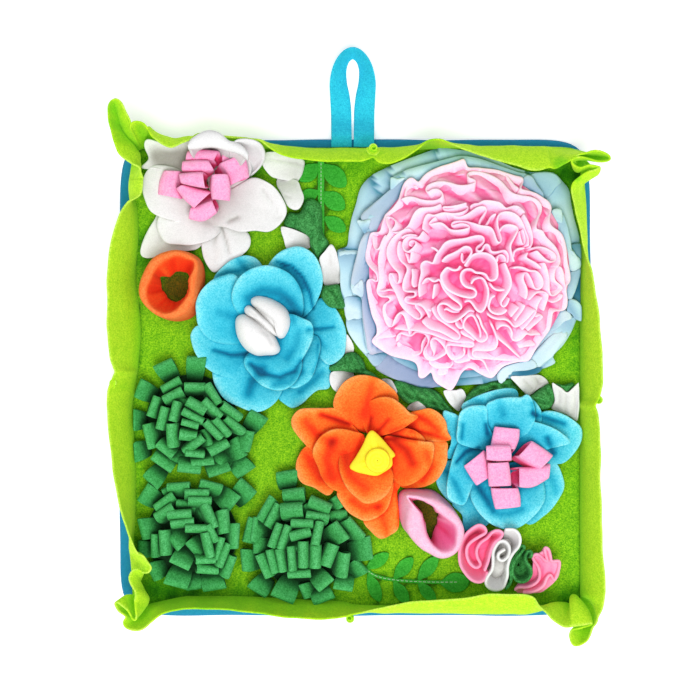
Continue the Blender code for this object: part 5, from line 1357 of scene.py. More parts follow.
PEONY_RIMS = (
    # the free rims of the ruffles, in the frame; the outermost is closed
    ((371, 341), (376, 335), (376, 326), (372, 317), (369, 305), (367, 294), (366, 285), (367, 280),
     (371, 279), (374, 282), (377, 280), (375, 273), (370, 268), (366, 262), (365, 255), (367, 245),
     (369, 236), (371, 232), (379, 232), (381, 226), (383, 219), (385, 214), (391, 209), (395, 204),
     (398, 200), (400, 193), (403, 184), (406, 180), (410, 177), (414, 178), (418, 182), (422, 177),
     (426, 173), (431, 170), (440, 166), (450, 163), (459, 160), (464, 158), (466, 162), (468, 167),
     (476, 167), (486, 168), (496, 169), (506, 172), (515, 175), (524, 178), (521, 188), (528, 190),
     (537, 193), (543, 197), (549, 201), (552, 207), (551, 213), (550, 219), (551, 224), (555, 228),
     (561, 232), (565, 240), (567, 250), (568, 262), (570, 270), (571, 278), (570, 283), (567, 286),
     (567, 293), (568, 300), (567, 308), (563, 311), (554, 312), (552, 322), (550, 330), (545, 337),
     (539, 345), (534, 353), (529, 361), (520, 362), (511, 364), (503, 367), (499, 371), (493, 378),
     (488, 378), (478, 373), (470, 368), (465, 370), (461, 374), (457, 383), (451, 391), (444, 388),
     (437, 384), (433, 379), (431, 372), (427, 376), (422, 379), (418, 377), (418, 371), (416, 364),
     (411, 361), (402, 359), (391, 356), (382, 351), (375, 346)),
    ((400, 199), (404, 197), (409, 196), (414, 196.5), (419, 198.5), (427, 200), (434, 200), (440, 198),
     (442.5, 194), (440, 189.5), (435, 188), (430, 189.5), (427.5, 192), (425, 189), (427, 185),
     (433, 182), (441, 180.5), (450, 182), (458, 184.5), (466, 184.5), (472, 183), (476.5, 181),
     (474, 178.5), (469, 177), (467, 174), (470, 171), (480, 171), (490, 174), (498, 178), (504, 183),
     (508, 188), (513, 192.5), (521, 194.8), (530, 196), (538, 199.5), (542, 205), (542, 211),
     (539, 217), (537, 224), (537, 229), (543, 230), (546, 236), (552, 242), (557, 248), (560, 255),
     (561, 262), (558, 268)),
    ((404, 196), (405, 189), (408, 183), (411, 180), (413, 186), (416, 184)),
    ((505, 172), (510, 178), (514, 184), (520, 188)),
    ((385, 234), (381, 241), (379, 247), (376, 250), (373, 247), (372, 240), (371, 234)),
    ((409, 228), (404, 229), (397, 232), (390, 231), (394, 226), (395, 221), (391, 217), (385, 216),
     (386, 223), (389, 231), (385, 237), (382, 244), (379, 251), (377.5, 260), (378, 270), (378.5, 279),
     (377, 286), (376, 292), (380, 297), (387, 297), (390, 300), (386, 303), (383, 305), (382, 312),
     (384, 320), (387, 326), (391, 328), (393, 322), (396, 316), (400, 313), (404, 317), (406, 324),
     (408, 331), (409, 336)),
    ((377, 290), (381, 292), (387, 290), (393, 291), (396, 293)),
    ((441, 203), (435, 206), (428, 207), (420, 207.5), (415, 211), (411, 218), (408, 225), (402, 230),
     (396, 234), (391, 239), (387, 246), (386, 253), (388, 261), (393, 268), (398, 273), (398.5, 280),
     (397, 284), (394, 282), (392, 276), (389.5, 272.5), (388, 277), (390, 284), (394, 291), (397, 298),
     (400, 305), (405, 311), (411, 316), (417, 320), (421, 318), (420, 313), (416, 309), (414, 305),
     (418, 304), (423, 308), (427, 314), (429, 319)),
    ((467, 202), (458, 204.5), (449, 206), (442, 206), (444, 209), (452, 208.5), (461, 206), (468, 205),
     (467, 209), (461, 212), (452, 213), (445, 212), (439, 213), (433, 215), (428, 213), (425, 216),
     (423, 222), (422, 229)),
    ((436, 216), (432, 219), (428, 224), (434, 223), (440, 222), (445, 225), (449, 229), (456, 230),
     (464, 229), (470, 227), (468, 224.5), (462, 223), (455, 224.5), (451, 226), (452, 222),
     (458, 220.5), (466, 221), (474, 223), (482, 225.5), (489, 226), (493, 229), (495, 234), (497, 240),
     (500, 243), (502, 239), (500, 232), (498, 225), (498, 218), (500, 213), (506, 211), (513, 212),
     (519, 216), (523, 222), (526, 230), (529, 238), (529, 246)),
    ((446, 216), (448, 212), (455, 216), (462, 216), (470, 212), (477, 207), (484, 205.5), (487, 209),
     (484, 214), (480, 220), (479.5, 226), (484, 227), (488, 222), (492, 215), (497, 213)),
    ((470, 206), (474, 203), (479, 203), (483, 200), (490, 200), (497, 201), (502, 203), (506, 208),
     (511, 206), (517, 205), (522, 208), (526, 213), (524, 211), (519, 207)),
    ((524, 213), (528, 220), (531, 227), (533, 235), (533, 243), (530, 248)),
    ((523, 228), (525, 234), (526, 240), (524, 245), (521, 238), (520, 230)),
    ((423, 230), (420, 235), (417, 238), (412, 236), (406, 237), (402, 242), (402, 248), (406, 252),
     (410, 250), (414, 246), (416, 242), (412, 240), (408, 242), (409.5, 246)),
    ((400, 238), (404, 235), (410, 234), (416, 235)),
    ((399, 240), (397, 246), (397, 254), (400, 261), (405, 265), (407, 270), (404, 277), (402, 285),
     (403, 291), (409, 292), (414, 292), (415, 296), (410, 298), (405, 297), (404, 302), (410, 304),
     (418, 305), (425, 309), (431, 312)),
    ((404, 252), (407, 258), (408, 264), (410, 258), (411, 250)),
    ((411, 268), (412, 276), (411, 284), (414, 288)),
    ((419, 298), (418, 290), (419, 281), (421, 272), (420, 265), (424, 261), (429, 262), (432, 264),
     (434, 259), (436, 254), (440, 249), (444, 243), (450, 240), (458, 239), (466, 238), (473, 236),
     (480, 235), (484, 237), (484, 242), (479, 245), (476, 248), (478, 251), (483, 250), (484, 246),
     (487, 243), (490, 246), (491, 251), (496, 252), (501, 251), (506, 250), (509, 256), (508, 263)),
    ((430, 247), (434, 248), (438, 252)), ((498, 262), (498, 256), (502, 254), (506, 257), (506, 262)),
    ((441, 262), (446, 256), (453, 253), (460, 249), (464, 246), (468, 246), (472, 249), (471, 254),
     (467, 259), (463, 263), (461, 258), (462, 252)),
    ((464, 266), (468, 260), (472, 255), (479, 252.5), (487, 253), (493, 256), (497, 262), (498, 269),
     (498, 277), (494, 281), (489, 280), (487, 275), (482, 273), (476, 273), (472, 269), (466, 269),
     (462, 271), (460, 277), (462, 284), (467, 288), (473, 289), (477, 293), (474, 298), (467, 298),
     (459, 296), (452, 293), (446, 289), (442, 283), (440, 276), (443, 271), (447, 267), (451, 270),
     (457, 270), (460, 265)),
    ((421, 285), (424, 280), (428, 278), (431, 281), (435, 282), (438, 279), (440, 281), (442, 287),
     (446, 293), (452, 299), (458, 303), (462, 308), (458, 311), (452, 309), (447, 305), (441, 304),
     (437, 307), (438, 313), (442, 319), (448, 323), (455, 322), (460, 319), (465, 315), (470, 311),
     (475, 313)),
    ((443, 311), (446, 309), (450, 312), (455, 313), (460, 312)), ((432, 300), (433, 292), (434, 284)),
    ((471, 285), (474, 280), (480, 278), (484, 279), (487, 285), (489, 292), (488, 300), (486, 307),
     (482, 313), (477, 311), (473, 305), (469, 301), (464, 303)),
    ((490, 283), (494, 289), (500, 291), (506, 290)),
    ((505, 262), (508, 269), (511, 277), (512, 285), (509, 292), (504, 299), (501, 304), (504, 308),
     (508, 304), (510, 298)),
    ((496, 296), (492, 298), (490, 303), (489, 309), (492, 313), (498, 315), (504, 314), (508, 310)),
    ((487, 314), (492, 318), (499, 320), (506, 320), (511, 323), (515, 328), (520, 326), (525, 322),
     (530, 317), (534, 312), (537, 310), (536, 315), (532, 320), (527, 326), (522, 331)),
    ((515, 322), (519, 316), (523, 311), (526, 305)), ((511, 318), (515, 313), (520, 307)),
    ((476, 315), (480, 320), (482, 327), (486, 333), (488, 338), (485, 342), (480, 343), (476, 340),
     (472, 336), (467, 332), (463, 328), (464, 322), (468, 317), (473, 316), (476, 321), (479, 328),
     (481, 335), (480, 339)),
    ((491, 324), (494, 330), (497, 338), (498, 345), (495, 350), (489, 351.5), (482, 351.5), (475, 351),
     (472, 354), (474, 358), (482, 359), (492, 360), (503, 361), (513, 361), (520, 360)),
    ((497, 331), (500, 327), (505, 326), (510, 328), (513, 334), (512, 340), (517, 342), (523, 339),
     (527, 334), (531, 336), (537, 335), (542, 335)),
    ((498, 339), (503, 343), (509, 348), (515, 354), (521, 359)),
    ((519, 349), (525, 347), (532, 346.5), (537, 345)),
    ((528, 332), (533, 327), (539, 322), (544, 317), (541, 315), (536, 318)),
    ((514, 268), (518, 267), (525, 268), (531, 271), (537, 271), (542, 276), (544, 282), (543, 287),
     (539, 290), (535, 288), (533, 282), (530, 276), (527, 272), (524, 275), (524, 281), (527, 287),
     (528, 294), (526, 300)),
    ((529, 301), (533, 297), (537, 293), (543, 292), (549, 294), (548, 300), (546, 306), (544, 312)),
    ((537, 312), (538, 306), (541, 300), (544, 297)),
    ((545, 262), (548, 270), (550, 280), (550, 289), (552, 296), (557, 295), (561, 291), (564, 288),
     (560, 284), (556, 281), (555, 275), (557, 268), (561, 266), (564, 272), (565, 280), (566, 287)),
    ((552, 303), (557, 302), (562, 299), (564, 294)),
    ((529, 252), (526, 257), (531, 260), (538, 264), (543, 269)),
    ((531, 249), (537, 247), (544, 247), (551, 250), (556, 254), (557, 260), (552, 262), (546, 259),
     (541, 254), (537, 250)),
    ((500, 231), (503, 226), (508, 224), (515, 225), (519, 228), (517, 233), (514, 239), (511, 245),
     (512, 253), (515, 262)),
    ((514, 258), (515, 251), (520, 248), (526, 248)),
    ((396, 343), (396, 337), (400, 334), (406, 336), (411, 337), (414, 333), (419, 333), (425, 335),
     (428, 340), (427, 346), (423, 352), (424, 357), (428, 361), (434, 361), (440, 358), (446, 354),
     (444, 348), (439, 342), (434, 339), (430, 342), (431, 349), (434, 354), (432, 358)),
    ((396, 343), (399, 350), (404, 355), (411, 357), (417, 356), (421, 353), (421, 346), (423, 341)),
    ((393, 329), (400, 330), (406, 331), (414, 331), (423, 333), (432, 335), (442, 339), (452, 342),
     (460, 343), (468, 343), (475, 345), (471, 348), (463, 347), (454, 346), (447, 346), (445, 350),
     (448, 356), (452, 361), (457, 360), (462, 358), (465, 354), (463, 350)),
    ((421, 321), (425, 326), (431, 330), (439, 332), (447, 336), (454, 340), (459, 340), (460, 336),
     (455, 331), (449, 327), (443, 323), (437, 319), (433, 313), (431, 308)),
    ((428, 362), (431, 366), (436, 369), (444, 369), (450, 368.5), (453, 364)),
    ((431, 371), (437, 371.5), (444, 371), (449, 372), (446, 375), (440, 376), (436, 374)),
    ((467, 356), (472, 360), (479, 360), (484, 363), (487, 370), (491, 377)),
    ((453, 362), (459, 364), (466, 362), (471, 361)), ((372, 340), (380, 339), (388, 338), (395, 337)),
    ((460, 316), (461, 321), (464, 326), (461, 330), (457, 327), (455, 323)),
    ((460, 332), (464, 336), (470, 338), (475, 342)),
)
PEONY_SLOPES = (
    # distance from the middle in the frame, inward pull of the foot, drop of the foot
    (0.0, 5.0, 15.0), (25.0, 8.5, 14.0), (50.0, 12.0, 13.0), (70.0, 16.0, 11.0), (90.0, 24.0, 7.0),
    (125.0, 32.0, 5.0),
)
PEONY_BANDS = (200.0, 95.0, 82.0, 68.0, 54.0, 40.0, 24.0, 0.0)
PEONY_TOP = 59.0
PEONY_EDGE = 27.0
PEONY_REACH = 104.0


def peony_height(distance):
    """Height of the peony's dome at a distance from its middle in the frame."""
    return PEONY_EDGE + (PEONY_TOP - PEONY_EDGE) * max(0.0, 1 - (distance / PEONY_REACH) ** 2)


DISC_TUCKS = {
    # inner end, outer end, side that dips under (1 is to the left going outward), size
    "disc_lower": (
        ((440, 170), (437, 148), 1, 0.8), ((392, 196), (390, 164), 1, 1.0),
        ((386, 206), (376, 184), 1, 1.0), ((372, 250), (336, 252), -1, 1.7),
        ((374, 318), (338, 319), -1, 1.3), ((386, 345), (374, 368), 1, 1.0),
        ((500, 366), (498, 392), 1, 0.8), ((535, 350), (546, 372), -1, 0.8),
        ((560, 305), (586, 318), 1, 1.2), ((560, 296), (586, 268), -1, 1.4),
        ((556, 240), (584, 250), 1, 1.0), ((532, 196), (524, 168), -1, 1.0),
    ),
    "disc_upper": (
        ((400, 200), (356, 224), -1, 1.6), ((372, 262), (348, 250), 1, 0.6),
        ((370, 284), (350, 292), 1, 1.5), ((382, 342), (366, 356), 1, 0.8),
        ((398, 182), (404, 170), 1, 0.7), ((520, 356), (530, 376), 1, 0.7),
        ((545, 325), (572, 340), 1, 0.8), ((560, 280), (586, 280), 1, 0.9),
        ((540, 205), (566, 222), 1, 1.0), ((520, 190), (548, 200), -1, 0.8),
    ),
}
TUCK_HEIGHT = 2.2
DISC_SHADES = (
    # painted shade on the discs: place in the frame, reach, how much darker
    (400, 370, 30, 0.40), (450, 382, 24, 0.50), (480, 376, 18, 0.40), (388, 200, 16, 0.18),
    (378, 264, 14, 0.35), (368, 330, 9, 0.35), (556, 182, 22, 0.30), (574, 284, 13, 0.60),
    (526, 374, 20, 0.45), (346, 262, 9, 0.25), (579, 252, 8, 0.35), (500, 168, 40, 0.30),
    (578, 312, 6, 0.30),
)


DISC_FOLDS = (
    # disc, lift, darkest place, lightest place, their tones (painted shade and light across the fold),
    # shade tint (how much of the painted shade colour it takes), outline
    ("disc_upper", 1.5, (402, 196), (372, 208), 0.50, 0.76, 0.6,
     ((362, 214), (372, 205), (382, 197), (391, 189), (401, 182), (406, 180), (410, 190), (404, 205),
      (392, 214), (386, 226), (384, 236), (372, 234), (367, 224), (361, 220))),
    ("disc_upper", 2.5, (363, 232), (361, 222), 0.30, 1.0, 0.0,
     ((357, 221), (363, 221.5), (370, 220), (369, 226), (365, 234), (361, 229))),
    ("disc_upper", 2.0, (391, 190), (400, 180), 0.55, 1.0, 0.0,
     ((391, 178), (397, 179.5), (405, 178.5), (398, 184), (391, 190), (390.5, 184))),
    ("disc_upper", 1.3, (368, 270), (355, 266), 0.50, 0.88, 0.6,
     ((365, 234), (372, 232), (378, 238), (378, 262), (378, 282), (366, 284), (356, 288), (351, 285),
      (353, 270), (357, 255), (360, 243))),
    ("disc_upper", 2.4, (362, 296), (355, 287), 0.75, 1.0, 0.3,
     ((352, 289), (357, 284), (362, 280), (363.5, 290), (362, 297), (357, 295), (352, 292))),
    ("disc_upper", 1.6, (376, 326), (364, 330), 0.40, 0.98, 1.0,
     ((363, 282), (369, 281), (372, 298), (377, 314), (381, 330), (384, 345), (388, 351), (378, 353),
      (369, 354), (366, 338), (363, 320), (362, 300))),
    ("disc_lower", 1.6, (348, 252), (346, 275), 0.36, 0.80, 0.0,
     ((337.5, 250), (348, 252), (358, 252), (357, 262), (354, 276), (352, 290), (352, 300), (343.5, 299),
      (340.5, 285), (340, 268))),
    ("disc_lower", 2.0, (360, 297), (354, 309), 0.20, 1.0, 0.2,
     ((344, 300), (351, 296), (363, 298), (366, 308), (365, 318), (354, 319.5), (346.5, 319.5))),
    ("disc_lower", 2.0, (359, 319), (356, 335), 0.42, 0.92, 0.1,
     ((346.5, 320), (354, 319), (365, 318), (367, 330), (370, 345), (371, 353), (363, 352), (354, 341),
      (348, 331))),
    ("disc_lower", 2.4, (384, 354), (372, 361), 0.36, 0.66, 0.4,
     ((367, 354), (378, 353), (388, 352), (384, 359), (377, 366), (372, 364))),
    ("disc_lower", 1.2, (428, 384), (382, 366), 0.44, 0.62, 1.0,
     ((385, 353), (395, 356), (412, 362), (430, 370), (442, 384), (425, 388), (408, 383), (392, 378),
      (376, 369), (378, 362))),
    ("disc_upper", 2.6, (522, 364), (505, 370), 0.85, 1.0, 0.2,
     ((496, 375), (500, 369), (508, 365), (520, 362), (530, 359), (537, 366), (528, 369.5), (515, 370.5),
      (508, 372), (504, 376), (502, 382.5), (499, 383), (497, 379))),
    ("disc_upper", 1.2, (520, 373), (508, 377), 0.02, 0.30, 0.0,
     ((504, 377), (510, 370), (530, 369), (541, 368), (537, 373), (524, 375.5), (510, 378))),
    ("disc_upper", 1.5, (533, 362), (548, 352), 0.85, 1.0, 0.1,
     ((530, 360), (536, 350), (546, 340), (556, 332), (567, 333), (560, 344), (552, 356), (543, 363),
      (538, 367))),
    ("disc_upper", 1.5, (525, 188), (528, 178), 0.50, 0.68, 0.4,
     ((520, 190), (522, 180), (526, 175.5), (531, 177), (536, 185), (543, 196), (530, 194))),
    ("disc_lower", 2.2, (546, 197), (558, 180), 0.46, 0.64, 0.0,
     ((529, 176), (540, 172), (553, 173), (562, 181), (556, 187), (547, 198), (538, 192), (533, 183))),
    ("disc_upper", 2.6, (553, 224), (557, 213), 0.60, 1.0, 0.0,
     ((551, 212), (557, 209), (561, 212), (561, 223), (556, 222), (552, 225))),
    ("disc_upper", 1.6, (557, 228), (572, 262), 0.56, 0.98, 0.1,
     ((561, 213), (565, 222), (569.5, 240), (571, 252), (575, 260), (582, 262), (580, 268), (572, 271.5),
      (566, 264), (562, 245), (554, 230), (553, 225))),
    ("disc_lower", 2.4, (572, 247), (579, 260), 0.26, 0.52, 0.0,
     ((571, 245), (582, 244), (584, 256), (582.5, 263), (575, 261), (572, 252))),
    ("disc_upper", 1.8, (578, 271), (569, 284), 0.46, 0.68, 0.2,
     ((569, 273), (575, 271), (580, 269), (578, 280), (574, 292), (569.5, 300), (564, 294), (566, 282))),
    ("disc_lower", 2.4, (577, 288), (573, 300), 0.00, 0.16, 0.0,
     ((579, 272), (582.5, 268), (581.5, 288), (580, 306), (575, 302), (571, 300), (575, 291))),
    ("disc_upper", 2.0, (570, 308), (577, 304), 0.40, 0.86, 0.0,
     ((568, 300), (575, 300.5), (581, 307), (583, 314), (581, 321), (575, 319), (571, 314), (566, 310))),
    ("disc_upper", 1.6, (554, 318), (564, 316), 0.70, 1.0, 0.3,
     ((551, 318), (555, 311), (566, 311), (571, 318), (563, 322), (556, 329), (548, 332))),
    ("disc_upper", 1.2, (566, 322), (554, 331), 0.46, 0.80, 0.0,
     ((563, 321), (571, 317.5), (574.5, 319), (571, 330), (562, 335), (550, 333), (556, 328))),
)


# Height at which the folds of the discs are traced.
FOLD_HEIGHT = 20.0


def add_disc_fold(cloth, surface, fold):
    """One turned-over fold of a disc: an outline raised a little over the disc's own surface."""
    _, lift, dark, light, dark_tone, light_tone, shade_tint, outline = fold
    flat, reach, _ = filled_outline(smooth_ring(plan_of(outline, FOLD_HEIGHT), 5, 96), 13)
    plan, height = surface
    near = np.linalg.norm(flat[:, :, None, :] - plan[None, None], axis=-1)
    nearest = np.argsort(near, axis=2)[:, :, :12]
    rise = np.take_along_axis(np.broadcast_to(height, near.shape), nearest, axis=2).mean(axis=2)
    rise += lift - 0.7 * reach ** 4
    dark, light = plan_of((dark, light), FOLD_HEIGHT)
    axis = light - dark
    share = np.clip(((flat - dark) @ axis) / (axis @ axis), 0.0, 1.0)
    # Painted shade and light across the fold, from its darkest to its lightest place.
    tone = dark_tone + (light_tone - dark_tone) * share + 0.12 * reach ** 6
    start = len(cloth.points)
    cloth.add(lifted(flat, rise), tone=np.clip(tone, 0.0, 1.0))
    for index in range(start, len(cloth.points)):
        cloth.shade_tint_amounts[index] = shade_tint


def build_peony_discs():
    """Two pale blue layers under the peony, with a few slanting tucks between smooth panels."""
    for name, node, low, high, outline in PEONY_DISCS:
        rim = smooth_ring(plan_of(outline, high), 6, 320)
        centre = place(*PEONY_CENTRE, high)[:2]
        seed = len(name)
        shares = np.linspace(0.0, 1.0, 16)
        plan = centre + (rim - centre)[None] * (0.1 + 0.9 * shares)[:, None, None]
        turns = np.arctan2(rim[:, 1] - centre[1], rim[:, 0] - centre[0])
        height = low + (high - low) * shares[:, None] ** 1.5 + np.zeros(len(rim))
        soft = np.array([[wave(seed, 3.0 * turn) * 1.1 + wave(seed + 2, 7.0 * turn + 3.0 * share) * 0.5
                          for turn in turns] for share in shares])
        # Painted light: lighter where the disc's waves rise, darker where they sink.
        tone = 0.90 + 0.14 * soft
        height += soft * shares[:, None] ** 1.2
        for inner, outer, side, size in DISC_TUCKS[name]:
            first, last = plan_of((inner, outer), high)
            reach = np.linalg.norm(last - first)
            ahead = (last - first) / reach
            left = np.array((-ahead[1], ahead[0]))
            along = np.clip(((plan - first) @ ahead) / reach, 0.0, 1.0)
            away = ((plan - first) @ left) * side
            fade = along ** 0.7 * size
            under = away > 0
            away = np.abs(away)
            height += TUCK_HEIGHT * fade * np.where(under, -np.exp(-away / 9.0), np.exp(-away / 14.0))
            # Painted shade on the side of the tuck that dips under.
            tone -= 0.80 * fade * np.where(under, np.exp(-away / 8.0), 0.0)
        # Painted shade at the disc shades.
        for u, v, reach, dark in DISC_SHADES:
            away = np.linalg.norm(plan - place(u, v, high)[:2], axis=-1)
            tone -= dark * np.exp(-(away / (reach * MM_PER_PIXEL)) ** 2)
        cloth = Cloth()
        cloth.add(lifted(plan, height), closed=True, tone=np.clip(tone, 0.08, 1.0))
        cloth.cap(range(len(rim) - 1, -1, -1))
        shown = np.s_[6:]
        surface = plan[shown].reshape(-1, 2), height[shown].reshape(-1)
        for fold in DISC_FOLDS:
            if fold[0] == name:
                add_disc_fold(cloth, surface, fold)
        cloth.hold_back(DISC_LIMIT, 1)
        item = cloth.build("peony_" + name + "_pleats", THICKNESS["disc"], smooth=0)
        dress(item, node, PALE_BLUE)


def add_peony_base(cloth, band):
    """The crumpled cloth that closes the dome behind one ring of ruffles."""
    outer, inner = PEONY_BANDS[band], PEONY_BANDS[band + 1]
    outer = min(outer, 98.0)
    around = 150 if outer > 40.0 else 60
    slopes = np.array(PEONY_SLOPES)
    rows = []
    tones = []
    for step in range(6):
        reach = outer + 2.0 + (max(inner, 1.0) - outer - 2.0) * step / 5
        drop = np.interp(reach, slopes[:, 0], slopes[:, 2])
        rise = 2.4 * min(1.0, max(0.0, reach - 28.0) / 40.0)
        pale = 0.13 + 0.17 * min(1.0, max(0.0, reach - 20.0) / 30.0)
        row = []
        tone = []
        for j in range(around):
            turn = 2 * math.pi * j / around
            fold = wave(band + 0.37 * step, (9 + 0.1 * reach) * turn)
            row.append(place(PEONY_CENTRE[0] + reach * math.cos(turn),
                             PEONY_CENTRE[1] + reach * math.sin(turn),
                             peony_height(reach) - drop + 2.0 + rise * fold))
            # Painted shade: the base is dark, lighter on the crests of its folds.
            tone.append(pale + 0.24 * fold * min(1.0, reach / 40.0))
        rows.append(row)
        tones.append(tone)
    cloth.add(rows, closed=True, tone=tones)


def build_peony():
    """The pink ruffles: strips whose free rims wind to and fro over a dome."""
    clothes = [Cloth() for _ in PEONY_BANDS[1:]]
    middle = np.array(PEONY_CENTRE)
    slopes = np.array(PEONY_SLOPES)
    for number, rim in enumerate(PEONY_RIMS):
        closed = number == 0
        line = curve(rim, 6, closed=closed)
        length = np.linalg.norm(np.diff(line, axis=0), axis=1).sum()
        count = max(5, int(length / 2.8))
        line = resample(line, count, closed=closed)
        kernel = np.ones(7) / 7
        if closed:
            padded = np.vstack([line[-3:], line, line[:3]])
        else:
            padded = np.vstack([np.repeat(line[:1], 3, axis=0), line, np.repeat(line[-1:], 3, axis=0)])
        soft = np.column_stack([np.convolve(padded[:, k], kernel, mode="valid") for k in range(2)])
        distance = np.linalg.norm(line - middle, axis=1)
        pull = np.interp(distance, slopes[:, 0], slopes[:, 1])
        drop = np.interp(distance, slopes[:, 0], slopes[:, 2])
        inward = -(line - middle) / np.maximum(distance, 1.0)[:, None]
        foot = line * 0.55 + soft * 0.45 + inward * pull[:, None]
        pale = 0.16 * np.clip((distance - 28.0) / 40.0, 0.0, 1.0)
        top = np.array([peony_height(d) for d in distance])
        top += np.array([1.3 * wave(number, 0.27 * j) for j in range(count)])
        rows = []
        tones = []
        for level in (0.0, 0.33, 0.63, 0.87, 1.0):
            share = level ** 1.25
            row = []
            for j in range(count):
                plan = foot[j] + (line[j] - foot[j]) * share
                height = top[j] - drop[j] * (1 - level)
                row.append(place(plan[0], plan[1], height))
            rows.append(row)
            # Painted shade: darker towards the foot of each ruffle; pale lifts the outer rings.
            tones.append((pale + (1 - pale) * level ** (1.0 - 0.6 * pale)).tolist())
        band = 0
        while band < len(clothes) - 1 and distance.mean() < PEONY_BANDS[band + 1]:
            band += 1
        clothes[band].add(rows, closed=closed, tone=tones)
    for band, cloth in enumerate(clothes):
        add_peony_base(cloth, band)
        item = cloth.build(f"peony_pink_{band + 1}", THICKNESS["ruffle"])
        dress(item, f"peony_ruffle_{band + 1}", PINK)


# ---------------------------------------------------------------- cups, roll, puff, small ruffles

CUPS = (
    # name, slot, material, seed of its folds, then in the frame: its silhouette, lip and opening
    ("orange_cup", "orange_felt", CUP_ORANGE, 3,
     ((139.6, 287), (144, 273), (153, 258), (166, 251.5), (181, 250), (194, 254.6), (202, 263),
      (205, 274), (204.5, 286), (203, 299), (199, 309), (193, 317), (183, 321), (172, 321), (160, 317),
      (149, 309), (141, 299)),
     ((146.5, 290), (153, 274), (159, 264), (167, 259), (177, 255), (187, 258), (194.5, 262),
      (194, 270), (190, 279), (190, 292), (184, 301), (176, 310), (166, 314), (157, 311), (148, 303)),
     ((161, 277), (171, 275.5), (179, 271), (189, 276), (189.5, 286), (188.5, 293), (182, 299),
      (175, 302), (169, 299), (164, 292), (161.5, 285))),
    ("pink_cup", "pink_fleece", CUP_PINK, 6,
     ((397.5, 500), (399, 493), (404, 489.5), (412, 488.5), (421, 489), (430, 489.5), (436, 492),
      (441, 495.5), (447, 500), (452, 505), (457, 511), (461, 518), (463.5, 526), (464, 533),
      (462, 541), (459, 548), (455, 553), (449, 556.5), (443, 558), (437, 557), (430, 553.5),
      (422, 550), (415, 545), (408, 539), (402, 532), (399, 524), (397.5, 512)),
     ((407, 496.5), (413, 497.5), (420, 499), (427, 502), (433, 506), (438, 511), (444, 516),
      (450, 520), (455, 524), (457, 530), (456.5, 537), (456, 544), (453, 549.5), (447, 552),
      (441, 551.5), (436, 548), (431, 543), (427, 537), (424.5, 530), (423, 521), (421, 515),
      (418, 510), (412, 505), (408.5, 501)),
     ((411, 500), (419, 499), (428, 502.5), (434, 507), (439, 513), (437, 520), (434, 529),
      (431, 540), (427.5, 536), (425, 529), (423, 518), (419, 510), (413.5, 504.5))),
)
CUP_HEIGHT = 40.0


def outline_by_angle(outline, height, middle, count):
    """The points of an outline at evenly spaced directions round a middle point."""
    points = smooth_ring(plan_of(outline, height), 6, 360)
    turns = np.arctan2(points[:, 1] - middle[1], points[:, 0] - middle[0])
    order = np.argsort(turns)
    spots = np.linspace(-math.pi, math.pi, count, endpoint=False)
    reach = np.linalg.norm(points - middle, axis=1)
    away = np.interp(spots, turns[order], reach[order], period=2 * math.pi)
    return middle + np.column_stack([np.cos(spots), np.sin(spots)]) * away[:, None]


def build_cup(name, slot, material, folds, outer, inner, opening):
    """A cup of folded cloth: its wall rises from the floor, rolls over the rim and goes down inside."""
    count = 100
    height = CUP_HEIGHT
    foot = SEWN + 1.0
    middle = plan_of(opening, foot).mean(axis=0)
    silhouette = outline_by_angle(outer, height - 4, middle, count)
    silhouette_low = outline_by_angle(outer, foot, middle, count)
    lip = outline_by_angle(inner, height - 2, middle, count)
    hole = outline_by_angle(opening, foot, middle, count)
    centre = np.array(CAMERA[:2])
    outward = silhouette - middle
    outward /= np.linalg.norm(outward, axis=1, keepdims=True)
    facing = (centre - middle) / np.linalg.norm(centre - middle)
    seen = (0.5 + 0.5 * outward @ facing)[:, None]
    rim = silhouette * (1 - seen) + (silhouette_low * 0.42 + lip * 0.58) * seen
    base = (silhouette * 0.72 + lip * 0.28) * (1 - seen) + silhouette_low * seen
    turns = np.arange(count) * 2 * math.pi / count
    pleat = np.array([wave(folds, 3.0 * t) + 0.6 * wave(folds + 3, 8.0 * t) for t in turns])[:, None]
    rows = []
    tones = []
    profile = (
        # from, to, share, height share, tone (painted shade, darkest down inside the cup), how much the
        # folds pull in
        (base, rim, 0.0, 0.0, 0.55, 0.0), (base, rim, 0.12, 0.25, 0.7, 0.2),
        (base, rim, 0.45, 0.55, 0.9, 0.4), (base, rim, 0.8, 0.80, 1.0, 0.3),
        (base, rim, 1.0, 0.92, 1.0, 0.1), (rim, lip, 0.35, 0.99, 1.0, 0.0),
        (rim, lip, 0.75, 1.0, 1.0, 0.0), (rim, lip, 1.0, 0.95, 0.8, 0.2),
        (lip, hole, 0.10, 0.85, 0.5, 0.6), (lip, hole, 0.30, 0.66, 0.42, 1.2),
        (lip, hole, 0.55, 0.42, 0.38, 1.6), (lip, hole, 0.82, 0.18, 0.34, 1.4),
        (lip, hole, 1.0, 0.0, 0.25, 0.6),
    )
    for first, last, share, up, shade, pull in profile:
        plan = first + (last - first) * share - outward * pleat * pull
        row = [(plan[j][0], plan[j][1], foot + (height - foot) * up + 0.5 * wave(5, turns[j] * 4) * up)
               for j in range(count)]
        rows.append(row)
        # Painted shade and light follow the pleats.
        tones.append(np.clip(shade + 0.14 * pleat[:, 0] * pull, 0.0, 1.0))
    cloth = Cloth()
    cloth.add(rows, closed=True, tone=tones)
    item = cloth.build(name + "_cloth", THICKNESS["cup"])
    dress(item, name, material)


YELLOW_SKIRT = (
    (372.6, 430.8), (380, 437), (388, 446), (395, 455), (392, 458), (391.6, 466), (383, 472.7),
    (375, 476), (362, 473.5), (354, 471), (349.7, 467), (356, 457), (363, 445), (368, 434),
)
YELLOW_ROLL = (377.6, 460.4)
YELLOW_ROLL_RADIUS = 11.0


